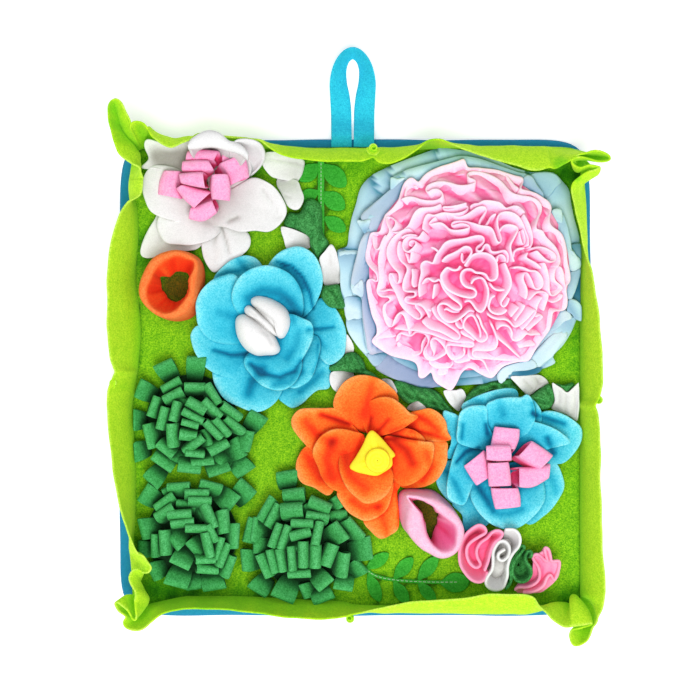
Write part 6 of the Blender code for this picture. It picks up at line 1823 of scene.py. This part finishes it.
def build_yellow_roll():
    """The rolled yellow middle: a tight roll with a wrap that opens below it to a pointed skirt."""
    cloth = Cloth()
    rim = smooth_ring(plan_of(YELLOW_SKIRT, 33.0), 6, 120)
    head = place(*YELLOW_ROLL, 40.0)[:2]
    skirt = (
        # share of the way out, height, tone (painted shade, darker low down)
        (0.55, 16.5, 0.2), (0.8, 22.0, 0.5), (0.97, 29.0, 0.8), (1.0, 31.5, 1.0), (0.96, 33.0, 1.0),
        (0.7, 35.5, 1.0), (0.45, 38.0, 0.9), (0.1, 38.5, 0.8),
    )
    rows = []
    tones = []
    for share, height, tone in skirt:
        row = []
        for index, point in enumerate(rim):
            plan = head + (point - head) * share
            row.append((plan[0], plan[1], height + 0.5 * wave(2, index * 0.16)))
        rows.append(row)
        tones.append([tone] * len(rim))
    cloth.add(rows, closed=True, tone=tones)
    around = 72
    rows = []
    tones = []
    for share in (1.04, 1.06, 1.0, 0.92, 0.82, 0.72, 0.62, 0.52, 0.42, 0.32, 0.22, 0.12, 0.03):
        row = []
        tone = []
        for k in range(around):
            turn = 2 * math.pi * k / around
            away = YELLOW_ROLL_RADIUS * share
            wound = (share * 3.1 - k / around) % 1.0
            groove = math.exp(-((wound - 0.5) / 0.16) ** 2) if share < 0.95 else 0.0
            height = 34.0 if share > 1.05 else 41.2 - 0.9 * groove - 2.0 * max(0.0, share - 0.85)
            if 1.0 < share < 1.05:
                height = 30.0
            row.append((head[0] + away * math.cos(turn), head[1] + away * math.sin(turn), height))
            # Painted shade in the groove of the roll.
            tone.append(1.0 - 0.35 * groove)
        rows.append(row)
        tones.append(tone)
    cloth.add(rows, closed=True, tone=tones)
    item = cloth.build("yellow_middle", THICKNESS["roll"])
    dress(item, "orange_flower_roll", YELLOW)


PUFF_LOBES = (
    # top height, outline in the frame
    (42.0,
     ((249, 299), (251, 296), (256, 294), (262, 294.5), (270, 297), (277, 301), (284, 306), (288, 311),
      (290.5, 317), (291, 323), (289.5, 329), (287, 334), (284.5, 338), (281, 339.5), (277, 338),
      (276, 332), (270, 325), (262, 316), (254, 308), (249.5, 303))),
    (40.0,
     ((243, 309), (244, 305.5), (247, 304), (251, 305.5), (257, 310), (264, 316), (271, 322), (278, 330),
      (278, 337), (271, 334), (262, 327), (253, 319), (245, 314))),
    (42.5,
     ((234, 322), (235, 317), (238, 314), (243, 313), (250, 316), (259, 322), (268, 329), (275, 336.5),
      (279, 345), (280, 349), (278, 353), (273, 355.5), (266, 356), (257, 356.5), (250, 353.5),
      (244, 349), (239, 343), (235.5, 336), (234, 329))),
)
# Creases of the puff, darkened with painted shade: path in the frame, half width, depth, how much darker.
PUFF_STROKES = (
    (((256, 307), (263, 313), (272, 320), (279, 329)), 1.7, 2.6, 0.50),
    (((248, 309), (255, 315)), 1.6, 1.8, 0.45), (((263, 331), (269, 336), (273, 345)), 1.6, 1.8, 0.40),
    (((250, 303), (254, 307)), 1.5, 2.0, 0.45), (((246, 314), (256, 320), (264, 326)), 1.4, 1.2, 0.28),
    (((260, 340), (262, 352)), 3.0, 0.6, 0.15),
)


def add_pillow(cloth, outline, low, middle, high, strokes=(), count=21):
    """A stuffed pad: domed above and rounded below, with creases pressed in along the strokes."""
    flat, reach, _ = filled_outline(smooth_ring(plan_of(outline, high - 4), 6, 120), count)
    dome = np.sqrt(np.clip(1 - reach ** 2.8, 0.0, 1.0))
    top = middle + (high - middle) * dome
    under = middle - (middle - low) * dome
    tone = np.ones(reach.shape)
    # Creases pressed in and darkened with painted shade.
    for path, half, depth, dark in strokes:
        near = np.exp(-(path_distance(flat, plan_of(path, high - 4)) / half) ** 2)
        top -= depth * near * dome
        tone -= dark * near
    cloth.add(lifted(flat, top), tone=np.clip(tone, 0.0, 1.0))
    # The lower side is painted darker towards its rim.
    cloth.add(lifted(flat, under)[:, ::-1], tone=dome)


def weld_pillows(item):
    """Join the upper and lower sides of stuffed pads at their rims, and round them off."""
    weld = item.modifiers.new("weld", "WELD")
    weld.merge_threshold = 0.05 * MM
    fine = item.modifiers.new("smooth", "SUBSURF")
    fine.levels = 1
    fine.render_levels = 1


def build_puff():
    """The white gathered puff: three padded lobes pressed together along deep folds."""
    cloth = Cloth()
    for high, outline in PUFF_LOBES:
        add_pillow(cloth, outline, 20.0, 25.0, high, PUFF_STROKES)
    item = cloth.build("puff", smooth=0)
    weld_pillows(item)
    dress(item, "blue_flower_a_puff", WHITE_FELT)


SMALL_RUFFLES = (
    # name, slot, material, height, rim path in the frame
    ("small_ruffle_pink", "pink_fleece", ROSE, 36.0,
     ((488, 572), (486, 579), (480, 583), (472, 581), (465, 574), (460, 565), (459, 553), (461, 543),
      (466, 534), (474, 527), (480, 524.5), (485, 527), (486.5, 532), (480, 536), (472, 541), (467, 547),
      (466.5, 556), (470, 564), (476, 568.5), (481, 565), (477.5, 558), (477, 550), (481, 543),
      (488, 538), (493, 532), (499, 530), (503.5, 533), (501, 538), (495, 543), (491, 552), (488.5, 562),
      (484.5, 572))),
    ("small_ruffle_white", "white_felt", WHITE_FELT, 38.0,
     ((505, 529), (514, 529), (519, 533), (521, 540), (519, 547), (514, 553), (510, 560), (508, 568),
      (508, 576), (506, 583), (503, 589), (496, 591), (489, 589), (485.5, 584), (487, 578), (492, 570),
      (493, 561), (493, 553), (496, 546), (500, 541.5), (505, 541), (509, 545), (510, 551), (508, 557),
      (503, 561), (498.5, 559), (498.5, 554), (502, 551), (505.5, 549))),
    ("small_ruffle_green", "vine_fleece", VINE, 35.0,
     ((505, 590), (510, 584), (511, 576), (509.5, 569), (512, 561), (517, 553), (521, 546), (525, 547),
      (521, 553), (516, 559), (513, 566), (512.5, 574), (516, 580.5), (522, 583), (528, 581), (532, 575),
      (531, 568), (527, 562), (526, 556), (529, 550.5), (532.5, 553), (531, 558))),
    ("small_ruffle_rose", "rose_fleece", ROSE, 33.0,
     ((514, 591), (518, 588), (526, 588), (534, 585), (539, 580), (540, 573), (538, 566), (534, 560),
      (533, 556), (537, 554), (541, 556), (545, 560), (548, 561), (546, 554), (545, 547), (549, 549),
      (551, 556), (552, 561), (556, 561), (560, 561), (560, 568), (558, 575), (555, 581), (551, 575),
      (547, 579), (544, 586), (537, 591), (530, 593), (522, 593))),
)
ROSE_BACK = (
    (517, 592), (521, 586), (527, 581), (531, 574), (532, 566), (532.5, 560), (534, 556), (538, 552),
    (543, 549), (546.5, 546.5), (549, 553), (551, 561), (559.5, 562), (559.5, 569), (558, 576),
    (554, 582), (547, 588), (541, 593), (528, 594), (518, 594),
)
# Creases of the rose's back, darkened with painted shade: path in the frame, half width, depth, how much
# darker.
ROSE_BACK_STROKES = (
    (((537, 558), (542, 567), (541, 579), (532, 589)), 1.8, 1.2, 0.25),
    (((550, 563), (551, 573), (554, 580)), 1.5, 1.0, 0.25),
)


def add_ruffle_core(cloth, rim, middle, height):
    """A low dome inside a small ruffle, so that no floor shows between its folds."""
    around = 24
    hull = resample(rim, 60)
    turns = np.arctan2(hull[:, 1] - middle[1], hull[:, 0] - middle[0])
    reach = np.linalg.norm(hull - middle, axis=1)
    spots = np.linspace(-math.pi, math.pi, around + 1)[:-1]
    far = [np.mean([away for away, turn in zip(reach, turns)
                    if abs((turn - spot + math.pi) % (2 * math.pi) - math.pi) < 0.4] or [2.0])
           for spot in spots]
    rows = []
    for share, lift in ((0.86, 0.10), (0.80, 0.42), (0.5, 0.55), (0.06, 0.55)):
        rows.append([(middle[0] + away * share * math.cos(spot),
                      middle[1] + away * share * math.sin(spot),
                      LOWEST + (height - SEWN) * lift) for spot, away in zip(spots, far)])
    # Painted shade: the core is painted as lying in shade.
    cloth.add(rows, closed=True, tone=np.full((4, around), 0.40))


def build_small_ruffles():
    """Four little gathered ruffles side by side, each a strip that winds to and fro."""
    for name, slot, material, height, path in SMALL_RUFFLES:
        rim = np.array([place(u, v, height) for u, v in path])
        rim = resample(curve(rim, 6), 120)
        middle = rim[:, :2].mean(axis=0)
        rows = []
        tones = []
        for level in np.linspace(0.0, 1.0, 8):
            pull = 0.50 + 0.50 * level ** 0.75
            row = []
            for j, point in enumerate(rim):
                plan = middle + (point[:2] - middle) * pull
                row.append((*plan, LOWEST + (height - LOWEST) * level + 1.2 * level * wave(4, j * 0.12)))
            rows.append(row)
            # Painted shade: darker low down in the ruffle.
            tones.append([0.42 + 0.50 * level ** 0.9] * len(rim))
        cloth = Cloth()
        cloth.add(rows, tone=tones)
        add_ruffle_core(cloth, rim[:, :2], middle, height)
        if name == "small_ruffle_rose":
            add_petal(cloth, ROSE_BACK, 15.0, 29.0, seed=3, count=19, strokes=ROSE_BACK_STROKES)
        item = cloth.build(name + "_cloth", THICKNESS["small ruffle"])
        dress(item, name, material)


# ---------------------------------------------------------------- vines, leaves, twigs

VINES = (
    # name, plump pads (outlines in the frame), grooves between the twisted strands
    ("vine_a",
     (((299, 212), (304, 201), (310, 197), (317, 200), (321, 206), (322.5, 216), (322.5, 226),
       (324, 234), (329, 242), (327.5, 248), (322, 254), (318, 259.5), (313, 252), (309.5, 245),
       (311, 239.5), (303, 232.5), (294, 228.5), (283.5, 226), (284, 219), (289, 211.5)),),
     (((296, 212), (296, 220), (293, 227)), ((321, 226), (320, 238), (319, 250)),
      ((311, 240), (313, 232)), ((302, 206), (312, 214), (316, 224)))),
    ("vine_b",
     (((322, 286), (330, 284.5), (338.5, 284), (341.5, 291), (344, 299), (345.5, 307), (339, 309),
       (330, 308), (323, 301), (320, 294)),), (((328, 288), (336, 296), (340, 306)),)),
    ("vine_c",
     (((328, 367), (335, 363), (341, 356), (347, 352.5), (354, 352), (360, 356), (364.5, 362),
       (366.5, 369), (373, 373), (379, 378.5), (378, 381), (369, 377), (360, 374), (350, 372.5),
       (340, 371), (330, 371.5)),),
     (((343, 356), (347, 363), (351, 371)), ((349, 353), (354, 362), (357, 372)),
      ((357, 356), (361, 364), (363, 372)), ((366, 369), (356, 371)))),
    ("vine_d",
     (((394, 381), (402, 381), (410, 384), (420, 387), (430, 388), (437, 391), (443, 396), (448, 404),
       (455, 413), (452, 417), (445, 412), (437, 410), (430, 412), (423, 406), (416, 400.5), (409, 404),
       (402, 400), (396, 392)),),
     (((399, 383), (406, 393), (413, 400)), ((410, 385), (417, 396), (426, 406)),
      ((421, 388), (430, 398), (439, 409)), ((432, 390), (440, 400), (448, 410)),
      ((398, 390), (410, 396), (425, 401), (445, 406)))),
    ("vine_e",
     (((529, 397), (535, 393.5), (542, 388), (549, 383.5), (553.5, 387), (555.5, 395), (554.5, 403),
       (550, 409), (543, 411), (536, 408), (529, 403), (526, 399.5)),
      ((463, 403), (469, 393), (477, 386), (487, 382), (497, 380), (506, 379), (512, 377), (514, 383),
       (519, 389), (516, 393), (505, 389), (494, 389), (482, 393), (471, 400)),
      ((556, 383.5), (564, 385), (573, 382.5), (575, 386), (567, 393), (559, 388))),
     (((531, 400), (540, 401), (549, 404)), ((545, 388), (551, 396), (553, 403)),
      ((476, 388), (484, 392)), ((487, 383), (497, 388)), ((499, 381), (509, 389)),
      ((470, 395), (490, 387), (512, 384)))),
)


def build_vines():
    """The textured green vines: plump strips of fleece, twisted."""
    for name, pads, grooves in VINES:
        cloth = Cloth()
        # Grooves between the strands, darkened with painted shade.
        strokes = [(path, 1.5, 2.6, 0.55) for path in grooves]
        for number, outline in enumerate(pads):
            add_pillow(cloth, outline, 11.2, 15.0, 25.5 - number, strokes, count=25)
        item = cloth.build(name + "_rope", smooth=0)
        weld_pillows(item)
        dress(item, name, VINE)


LEAVES = (
    # name, low, high, outlines in the frame, creases
    ("leaf_a", 13, 24,
     (((293, 181), (280, 179), (272, 177), (266, 171), (262, 163), (265, 154), (272, 152.5),
       (281, 152.5), (291, 155), (298, 158), (304, 160), (303.5, 167), (301, 175), (297, 181)),),
     (((263, 160), (275, 160), (286, 161.5), (295, 163), (304, 166)),)),
    ("leaf_b", 14, 25,
     (((279, 176), (276.5, 184), (280, 191), (284, 199), (287.5, 206), (293, 210), (299, 209.5),
       (303, 203), (304, 197), (301, 189), (296.5, 180)),), (((285, 196), (291, 198)),)),
    ("leaf_c", 13, 22,
     (((310, 247), (303, 248.5), (295, 248), (287, 249), (284, 240), (281, 227.5), (290, 228.5),
       (300, 232), (311, 238)),), ()),
    ("leaf_d", 13, 24,
     (((341, 281), (337, 284), (330, 285), (325, 286), (322.5, 278), (321, 267), (319.5, 258.5),
       (325, 251.5), (331, 244.5), (335.5, 250), (338.5, 261), (341, 272)),),
     (((330, 252), (331, 264)),)),
    ("leaf_e", 12, 18, (((344, 357), (344, 345), (346, 334), (351, 340), (354, 348), (351, 356)),), ()),
    ("leaf_f", 12, 21,
     (((352, 372), (341, 371), (331, 372.5), (330, 383), (336, 391.5), (343, 390), (350, 383),
       (354, 377)),), ()),
    ("leaf_g", 12, 20,
     (((382, 379), (383, 386), (389, 391), (397, 393), (395, 386), (391, 380)),
      ((407, 409), (412, 403.5), (418, 401), (424, 404), (427, 409), (416, 411))), ()),
    ("leaf_h", 13, 25,
     (((459, 411.5), (453, 407), (447, 400), (443, 391), (449, 390), (456, 390), (462, 389), (466, 396),
       (464, 402), (461, 408)),), (((452, 392), (456, 400)),)),
    ("leaf_i", 13, 26,
     (((530, 395.5), (523, 391), (516, 384), (509.5, 376.5), (519, 376), (530, 375), (540, 375),
       (547, 379), (549.5, 385), (540, 388.5)),), (((524, 380), (532, 388)), ((536, 378), (540, 384)))),
    ("leaf_j", 13, 26,
     (((553, 409), (555.5, 400), (551.5, 383), (556, 385), (561, 388), (566.5, 392.5), (571, 389),
       (575, 385), (578.5, 382.5), (581.5, 391), (583, 401), (583, 411), (579.5, 421.5), (573, 418),
       (564, 413)),),
     (((566, 394), (566, 405), (567, 413)), ((560, 391), (560, 402)),
      ((574, 389), (575, 402), (574, 414)))),
)


# Least side, in mm, of a cut leaf.
LEAST_CUT = 10.5


def build_leaves():
    """The white leaf tips: crisp felt petals wrapped on the vines."""
    for number, (name, low, high, outlines, creases) in enumerate(LEAVES):
        cloth = Cloth()
        longest = 0.0
        # Creases darkened with painted shade.
        strokes = [(path, 1.5, 0.8, 0.18) for path in creases]
        for outline in outlines:
            length = add_petal(cloth, outline, low, high, seed=number + 20, ripple=0.5, count=19,
                               strokes=strokes, steps=3)
            longest = max(longest, length)
        cloth.hold_back(LEAF_LIMIT, 1)
        item = cloth.build(name + "_felt", THICKNESS["leaf"], smooth=0)
        size, area = cut_size(cloth, max(longest, LEAST_CUT))
        size = tuple(max(side, LEAST_CUT * MM) for side in size)
        dress(item, name, WHITE_FELT)


TWIGS = (
    # name, half width of the stem, stem in the frame, leaves: root u, v, tip u, v, width
    ("twig_back", 3.6, ((321, 243), (321, 215), (321, 190), (321, 158)),
     ((319, 164, 299, 181, 17), (323, 164, 346, 187, 19), (319, 191, 299, 200, 14),
      (322, 192, 345, 209, 18), (324, 217, 346, 231, 15))),
    ("twig_front", 1.9, ((364, 566), (374, 575), (395, 580), (430, 582), (458, 582)),
     ((366, 569, 389, 553, 13), (368, 573, 380, 602, 13), (394, 579, 413, 557, 14),
      (394, 581, 408, 604, 13), (418, 580, 438, 556, 14), (418, 582, 436, 602, 12),
      (440, 583, 470, 582, 20))),
)


# Share of the way along a twig's leaf, and its half width there as a share of the widest.
TWIG_LEAF = ((0.12, 0.42), (0.35, 0.92), (0.6, 1.0), (0.82, 0.72), (0.95, 0.32))
# A stitch: share of its length, and lift at that place.
STITCH = ((0.0, -0.35), (0.25, 0.1), (0.75, 0.1), (1.0, -0.35))


def add_stitches(cloth, line):
    """A running stitch of thread along a line of points."""
    long, pitch, around = 6, 9, 6
    for start in range(2, 192, pitch):
        first, last = line[start], line[start + long]
        ahead = last - first
        side = np.cross((0, 0, 1.0), ahead / np.linalg.norm(ahead))
        rows = []
        for share, lift in STITCH:
            ring = []
            for k in range(around):
                angle = 2 * math.pi * k / around
                ring.append(first + ahead * share + side * 0.32 * math.cos(angle)
                            + np.array((0, 0, 0.26 * math.sin(angle) + lift)))
            rows.append(ring)
        cloth.add(rows, closed=True)


def build_twigs():
    """Two flat appliques of twig and leaves, with a line of white stitches along the stem."""
    root_half = 1.2
    for name, stem_half, stem, leaves in TWIGS:
        cloth = Cloth()
        height = SEWN + 0.8
        longest = 0.0
        for index, (root_u, root_v, tip_u, tip_v, width) in enumerate(leaves):
            root = np.array((root_u, root_v), dtype=float)
            tip = np.array((tip_u, tip_v), dtype=float)
            axis = tip - root
            side = np.array((-axis[1], axis[0])) / np.linalg.norm(axis)
            out = [root + axis * share + side * width / 2 * half for share, half in TWIG_LEAF]
            back = [root + axis * share - side * width / 2 * half for share, half in TWIG_LEAF[::-1]]
            outline = [root + side * root_half, *out, tip, *back, root - side * root_half]
            length = add_petal(cloth, outline, height, height + 0.3, cup=0.25, seed=index, ripple=0.12,
                               count=9)
            longest = max(longest, length)
        line = resample(curve([place(u, v, height + 0.15) for u, v in stem], 8), 40)
        rows = []
        for share in (-1.0, 1.0):
            row = []
            for index, point in enumerate(line):
                ahead = line[min(index + 1, 39)] - line[max(index - 1, 0)]
                side = np.cross((0, 0, 1.0), ahead / np.linalg.norm(ahead))
                row.append(point + side * stem_half * share)
            rows.append(row)
        cloth.add(rows)
        item = cloth.build(name + "_felt", THICKNESS["twig"])
        dress(item, name, TWIG)
        stitches = Cloth()
        add_stitches(stitches, resample(curve([place(u, v, height + 1.15) for u, v in stem], 8), 200))
        thread = stitches.build(name + "_stitches", smooth=0)
        dress(thread, None, THREAD)


# Direction, in degrees, in which each tuck faces out of the mat.
TUCKS = {"tuck_front": -90.0, "tuck_right": 0.0, "tuck_back": 95.0, "tuck_left": 180.0}
TUCK_LENGTH = 15.5
BACK_FLAP = (
    # u, v, height
    (366, 148.5, 39), (370, 147, 38), (375, 146, 37), (380, 149.5, 41), (378.5, 153, 45),
    (375, 155.5, 48), (371, 155, 48), (367, 152, 44),
)


def add_back_flap(cloth):
    """The fold of the rim that lies over the back tuck."""
    rim = smooth_ring([place(u, v, height) for u, v, height in BACK_FLAP], 4, 64)
    flat, reach, _ = filled_outline(rim, 11)
    tilt = np.linalg.lstsq(np.column_stack([rim[:, :2], np.ones(64)]), rim[:, 2], rcond=None)[0]
    rise = flat[..., :2] @ tilt[:2] + tilt[2] - 1.2 * reach ** 2
    # Painted light and shade: the flap is lighter towards its edge.
    cloth.add(lifted(flat[..., :2], rise), tone=0.75 + 0.25 * reach)


def build_tucks():
    """The little roll of the fence's own fleece at each pinch of its rim."""
    for name, heading in TUCKS.items():
        lo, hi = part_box(name)
        middle = (np.array(lo) + np.array(hi)) / 2 / MM
        turn = math.radians(heading)
        outward = np.array((math.cos(turn), math.sin(turn), 0.0))
        aside = np.array((-math.sin(turn), math.cos(turn), 0.0))
        rows = []
        tones = []
        count = 34
        for level in np.linspace(0.0, 1.0, 7):
            row = []
            for j in range(count):
                share = j / (count - 1)
                angle = -1.3 + share * 1.55 * 2 * math.pi
                wound = (1.4 + 2.6 * share) * (0.35 + 0.65 * level)
                row.append(middle + outward * (wound * math.cos(angle) + 1.5 * (level - 1))
                           + aside * wound * math.sin(angle)
                           + np.array((0, 0, (level - 0.5) * TUCK_LENGTH)))
            rows.append(row)
            # Painted shade towards the lower end of the roll.
            tones.append([0.3 + 0.7 * level] * count)
        cloth = Cloth()
        cloth.add(rows, tone=tones)
        if name == "tuck_back":
            add_back_flap(cloth)
        item = cloth.build(name + "_cloth", THICKNESS["tuck"])
        dress(item, name, LIME_LIT_WALL)


# ---------------------------------------------------------------- painted shade in the folds

FOLD_REACH = 26.0
FOLD_RAYS = 14
# Height over the cloth at which the rays start, so they miss the cloth itself.
CLEAR = 1.3
GOLDEN_ANGLE = 2.399963
# How dark the painted shade makes the deepest folds, as a share of their tone.
DEEPEST_SHADE = 0.15


def fold_directions():
    """Directions spread over a half sphere round +z, more of them near the pole."""
    out = []
    for k in range(FOLD_RAYS):
        share = (k + 0.5) / FOLD_RAYS
        turn = k * GOLDEN_ANGLE
        out.append((math.sqrt(share) * math.cos(turn), math.sqrt(share) * math.sin(turn),
                    math.sqrt(1.0 - share)))
    return np.array(out)


def openness(tree, spot, normal, directions):
    """How much of the half sphere over a point is free of cloth, 0 to 1."""
    side = Vector((1.0, 0.0, 0.0)) if abs(normal.x) < 0.7 else Vector((0.0, 1.0, 0.0))
    across = normal.cross(side).normalized()
    along = normal.cross(across)
    start = spot + normal * CLEAR * MM
    reach = FOLD_REACH * MM
    covered = 0.0
    for a, b, c in directions:
        hit = tree.ray_cast(start, across * a + along * b + normal * c, reach)
        if hit[0] is not None:
            covered += 1.0 - hit[3] / reach
    return 1.0 - covered / len(directions)


def paint_fold_shade():
    """Paint shade: lower the tone of each point of cloth by how deep in the folds it lies."""
    points = []
    faces = []
    for item in PIECES:
        start = len(points)
        points.extend(vertex.co.copy() for vertex in item.data.vertices)
        faces.extend(tuple(start + k for k in face.vertices) for face in item.data.polygons)
    tree = BVHTree.FromPolygons(points, faces)
    directions = fold_directions().tolist()
    for item in PIECES:
        layer = item.data.attributes["tone"].data
        for index, vertex in enumerate(item.data.vertices):
            normal = vertex.normal
            best = openness(tree, vertex.co, normal, directions)
            if best < 0.93:
                best = max(best, openness(tree, vertex.co, -normal, directions))
            free = min(1.0, max(0.0, (best - 0.30) / 0.55))
            layer[index].value *= DEEPEST_SHADE + (1 - DEEPEST_SHADE) * free


# ---------------------------------------------------------------- stage

def build_stage():
    """A white floor, soft studio light and the camera straight above."""
    scene = bpy.context.scene
    scene.view_settings.view_transform = "Standard"
    scene.view_settings.look = "None"
    mesh = bpy.data.meshes.new("studio_floor")
    half, level = 6.0, -0.0002
    corners = [(x * half, y * half, level) for x, y in ((-1, -1), (1, -1), (1, 1), (-1, 1))]
    mesh.from_pydata(corners, [], [(0, 1, 2, 3)])
    floor = bpy.data.objects.new("studio_floor", mesh)
    scene.collection.objects.link(floor)
    paint = bpy.data.materials.new("studio_floor")
    paint.use_nodes = True
    shader = paint.node_tree.nodes["Principled BSDF"]
    shader.inputs["Base Color"].default_value = (0.95, 0.95, 0.95, 1.0)
    shader.inputs["Roughness"].default_value = 0.9
    shader.inputs["Specular IOR Level"].default_value = 0.0
    shader.inputs["Emission Color"].default_value = (1.0, 1.0, 1.0, 1.0)
    shader.inputs["Emission Strength"].default_value = 0.30
    floor.data.materials.append(paint)
    world = bpy.data.worlds.new("studio")
    scene.world = world
    world.use_nodes = True
    world.node_tree.nodes["Background"].inputs["Color"].default_value = (1.0, 1.0, 1.0, 1.0)
    world.node_tree.nodes["Background"].inputs["Strength"].default_value = 0.50
    for name, spot, size, power in (("key", (0.25, -1.15, 2.4), 1.5, 58.0),
                                    ("fill", (-0.7, 0.3, 2.5), 2.0, 14.0)):
        lamp = bpy.data.lights.new(name, "AREA")
        lamp.shape = "SQUARE"
        lamp.size = size
        lamp.energy = power
        item = bpy.data.objects.new(name, lamp)
        scene.collection.objects.link(item)
        item.location = spot
        yaw = math.atan2(spot[1], spot[0])
        pitch = math.acos(spot[2] / np.linalg.norm(spot))
        item.rotation_euler = (0.0, pitch, yaw)
    lens = bpy.data.cameras.new("camera")
    lens.lens = 70.0
    lens.sensor_width = 36.0
    lens.sensor_fit = "HORIZONTAL"
    camera = bpy.data.objects.new("camera", lens)
    camera.location = tuple(c * MM for c in CAMERA)
    scene.collection.objects.link(camera)
    scene.camera = camera


def main():
    """Stage, then every piece, then the painted shade in the folds."""
    build_stage()
    build_pad()
    build_panel()
    build_fence()
    build_tucks()
    build_hanging_loop()
    build_flowers()
    build_middles()
    build_puff()
    build_yellow_roll()
    build_pompoms()
    build_peony_discs()
    build_peony()
    for cup in CUPS:
        build_cup(*cup)
    build_small_ruffles()
    build_vines()
    build_leaves()
    build_twigs()
    paint_fold_shade()


main()
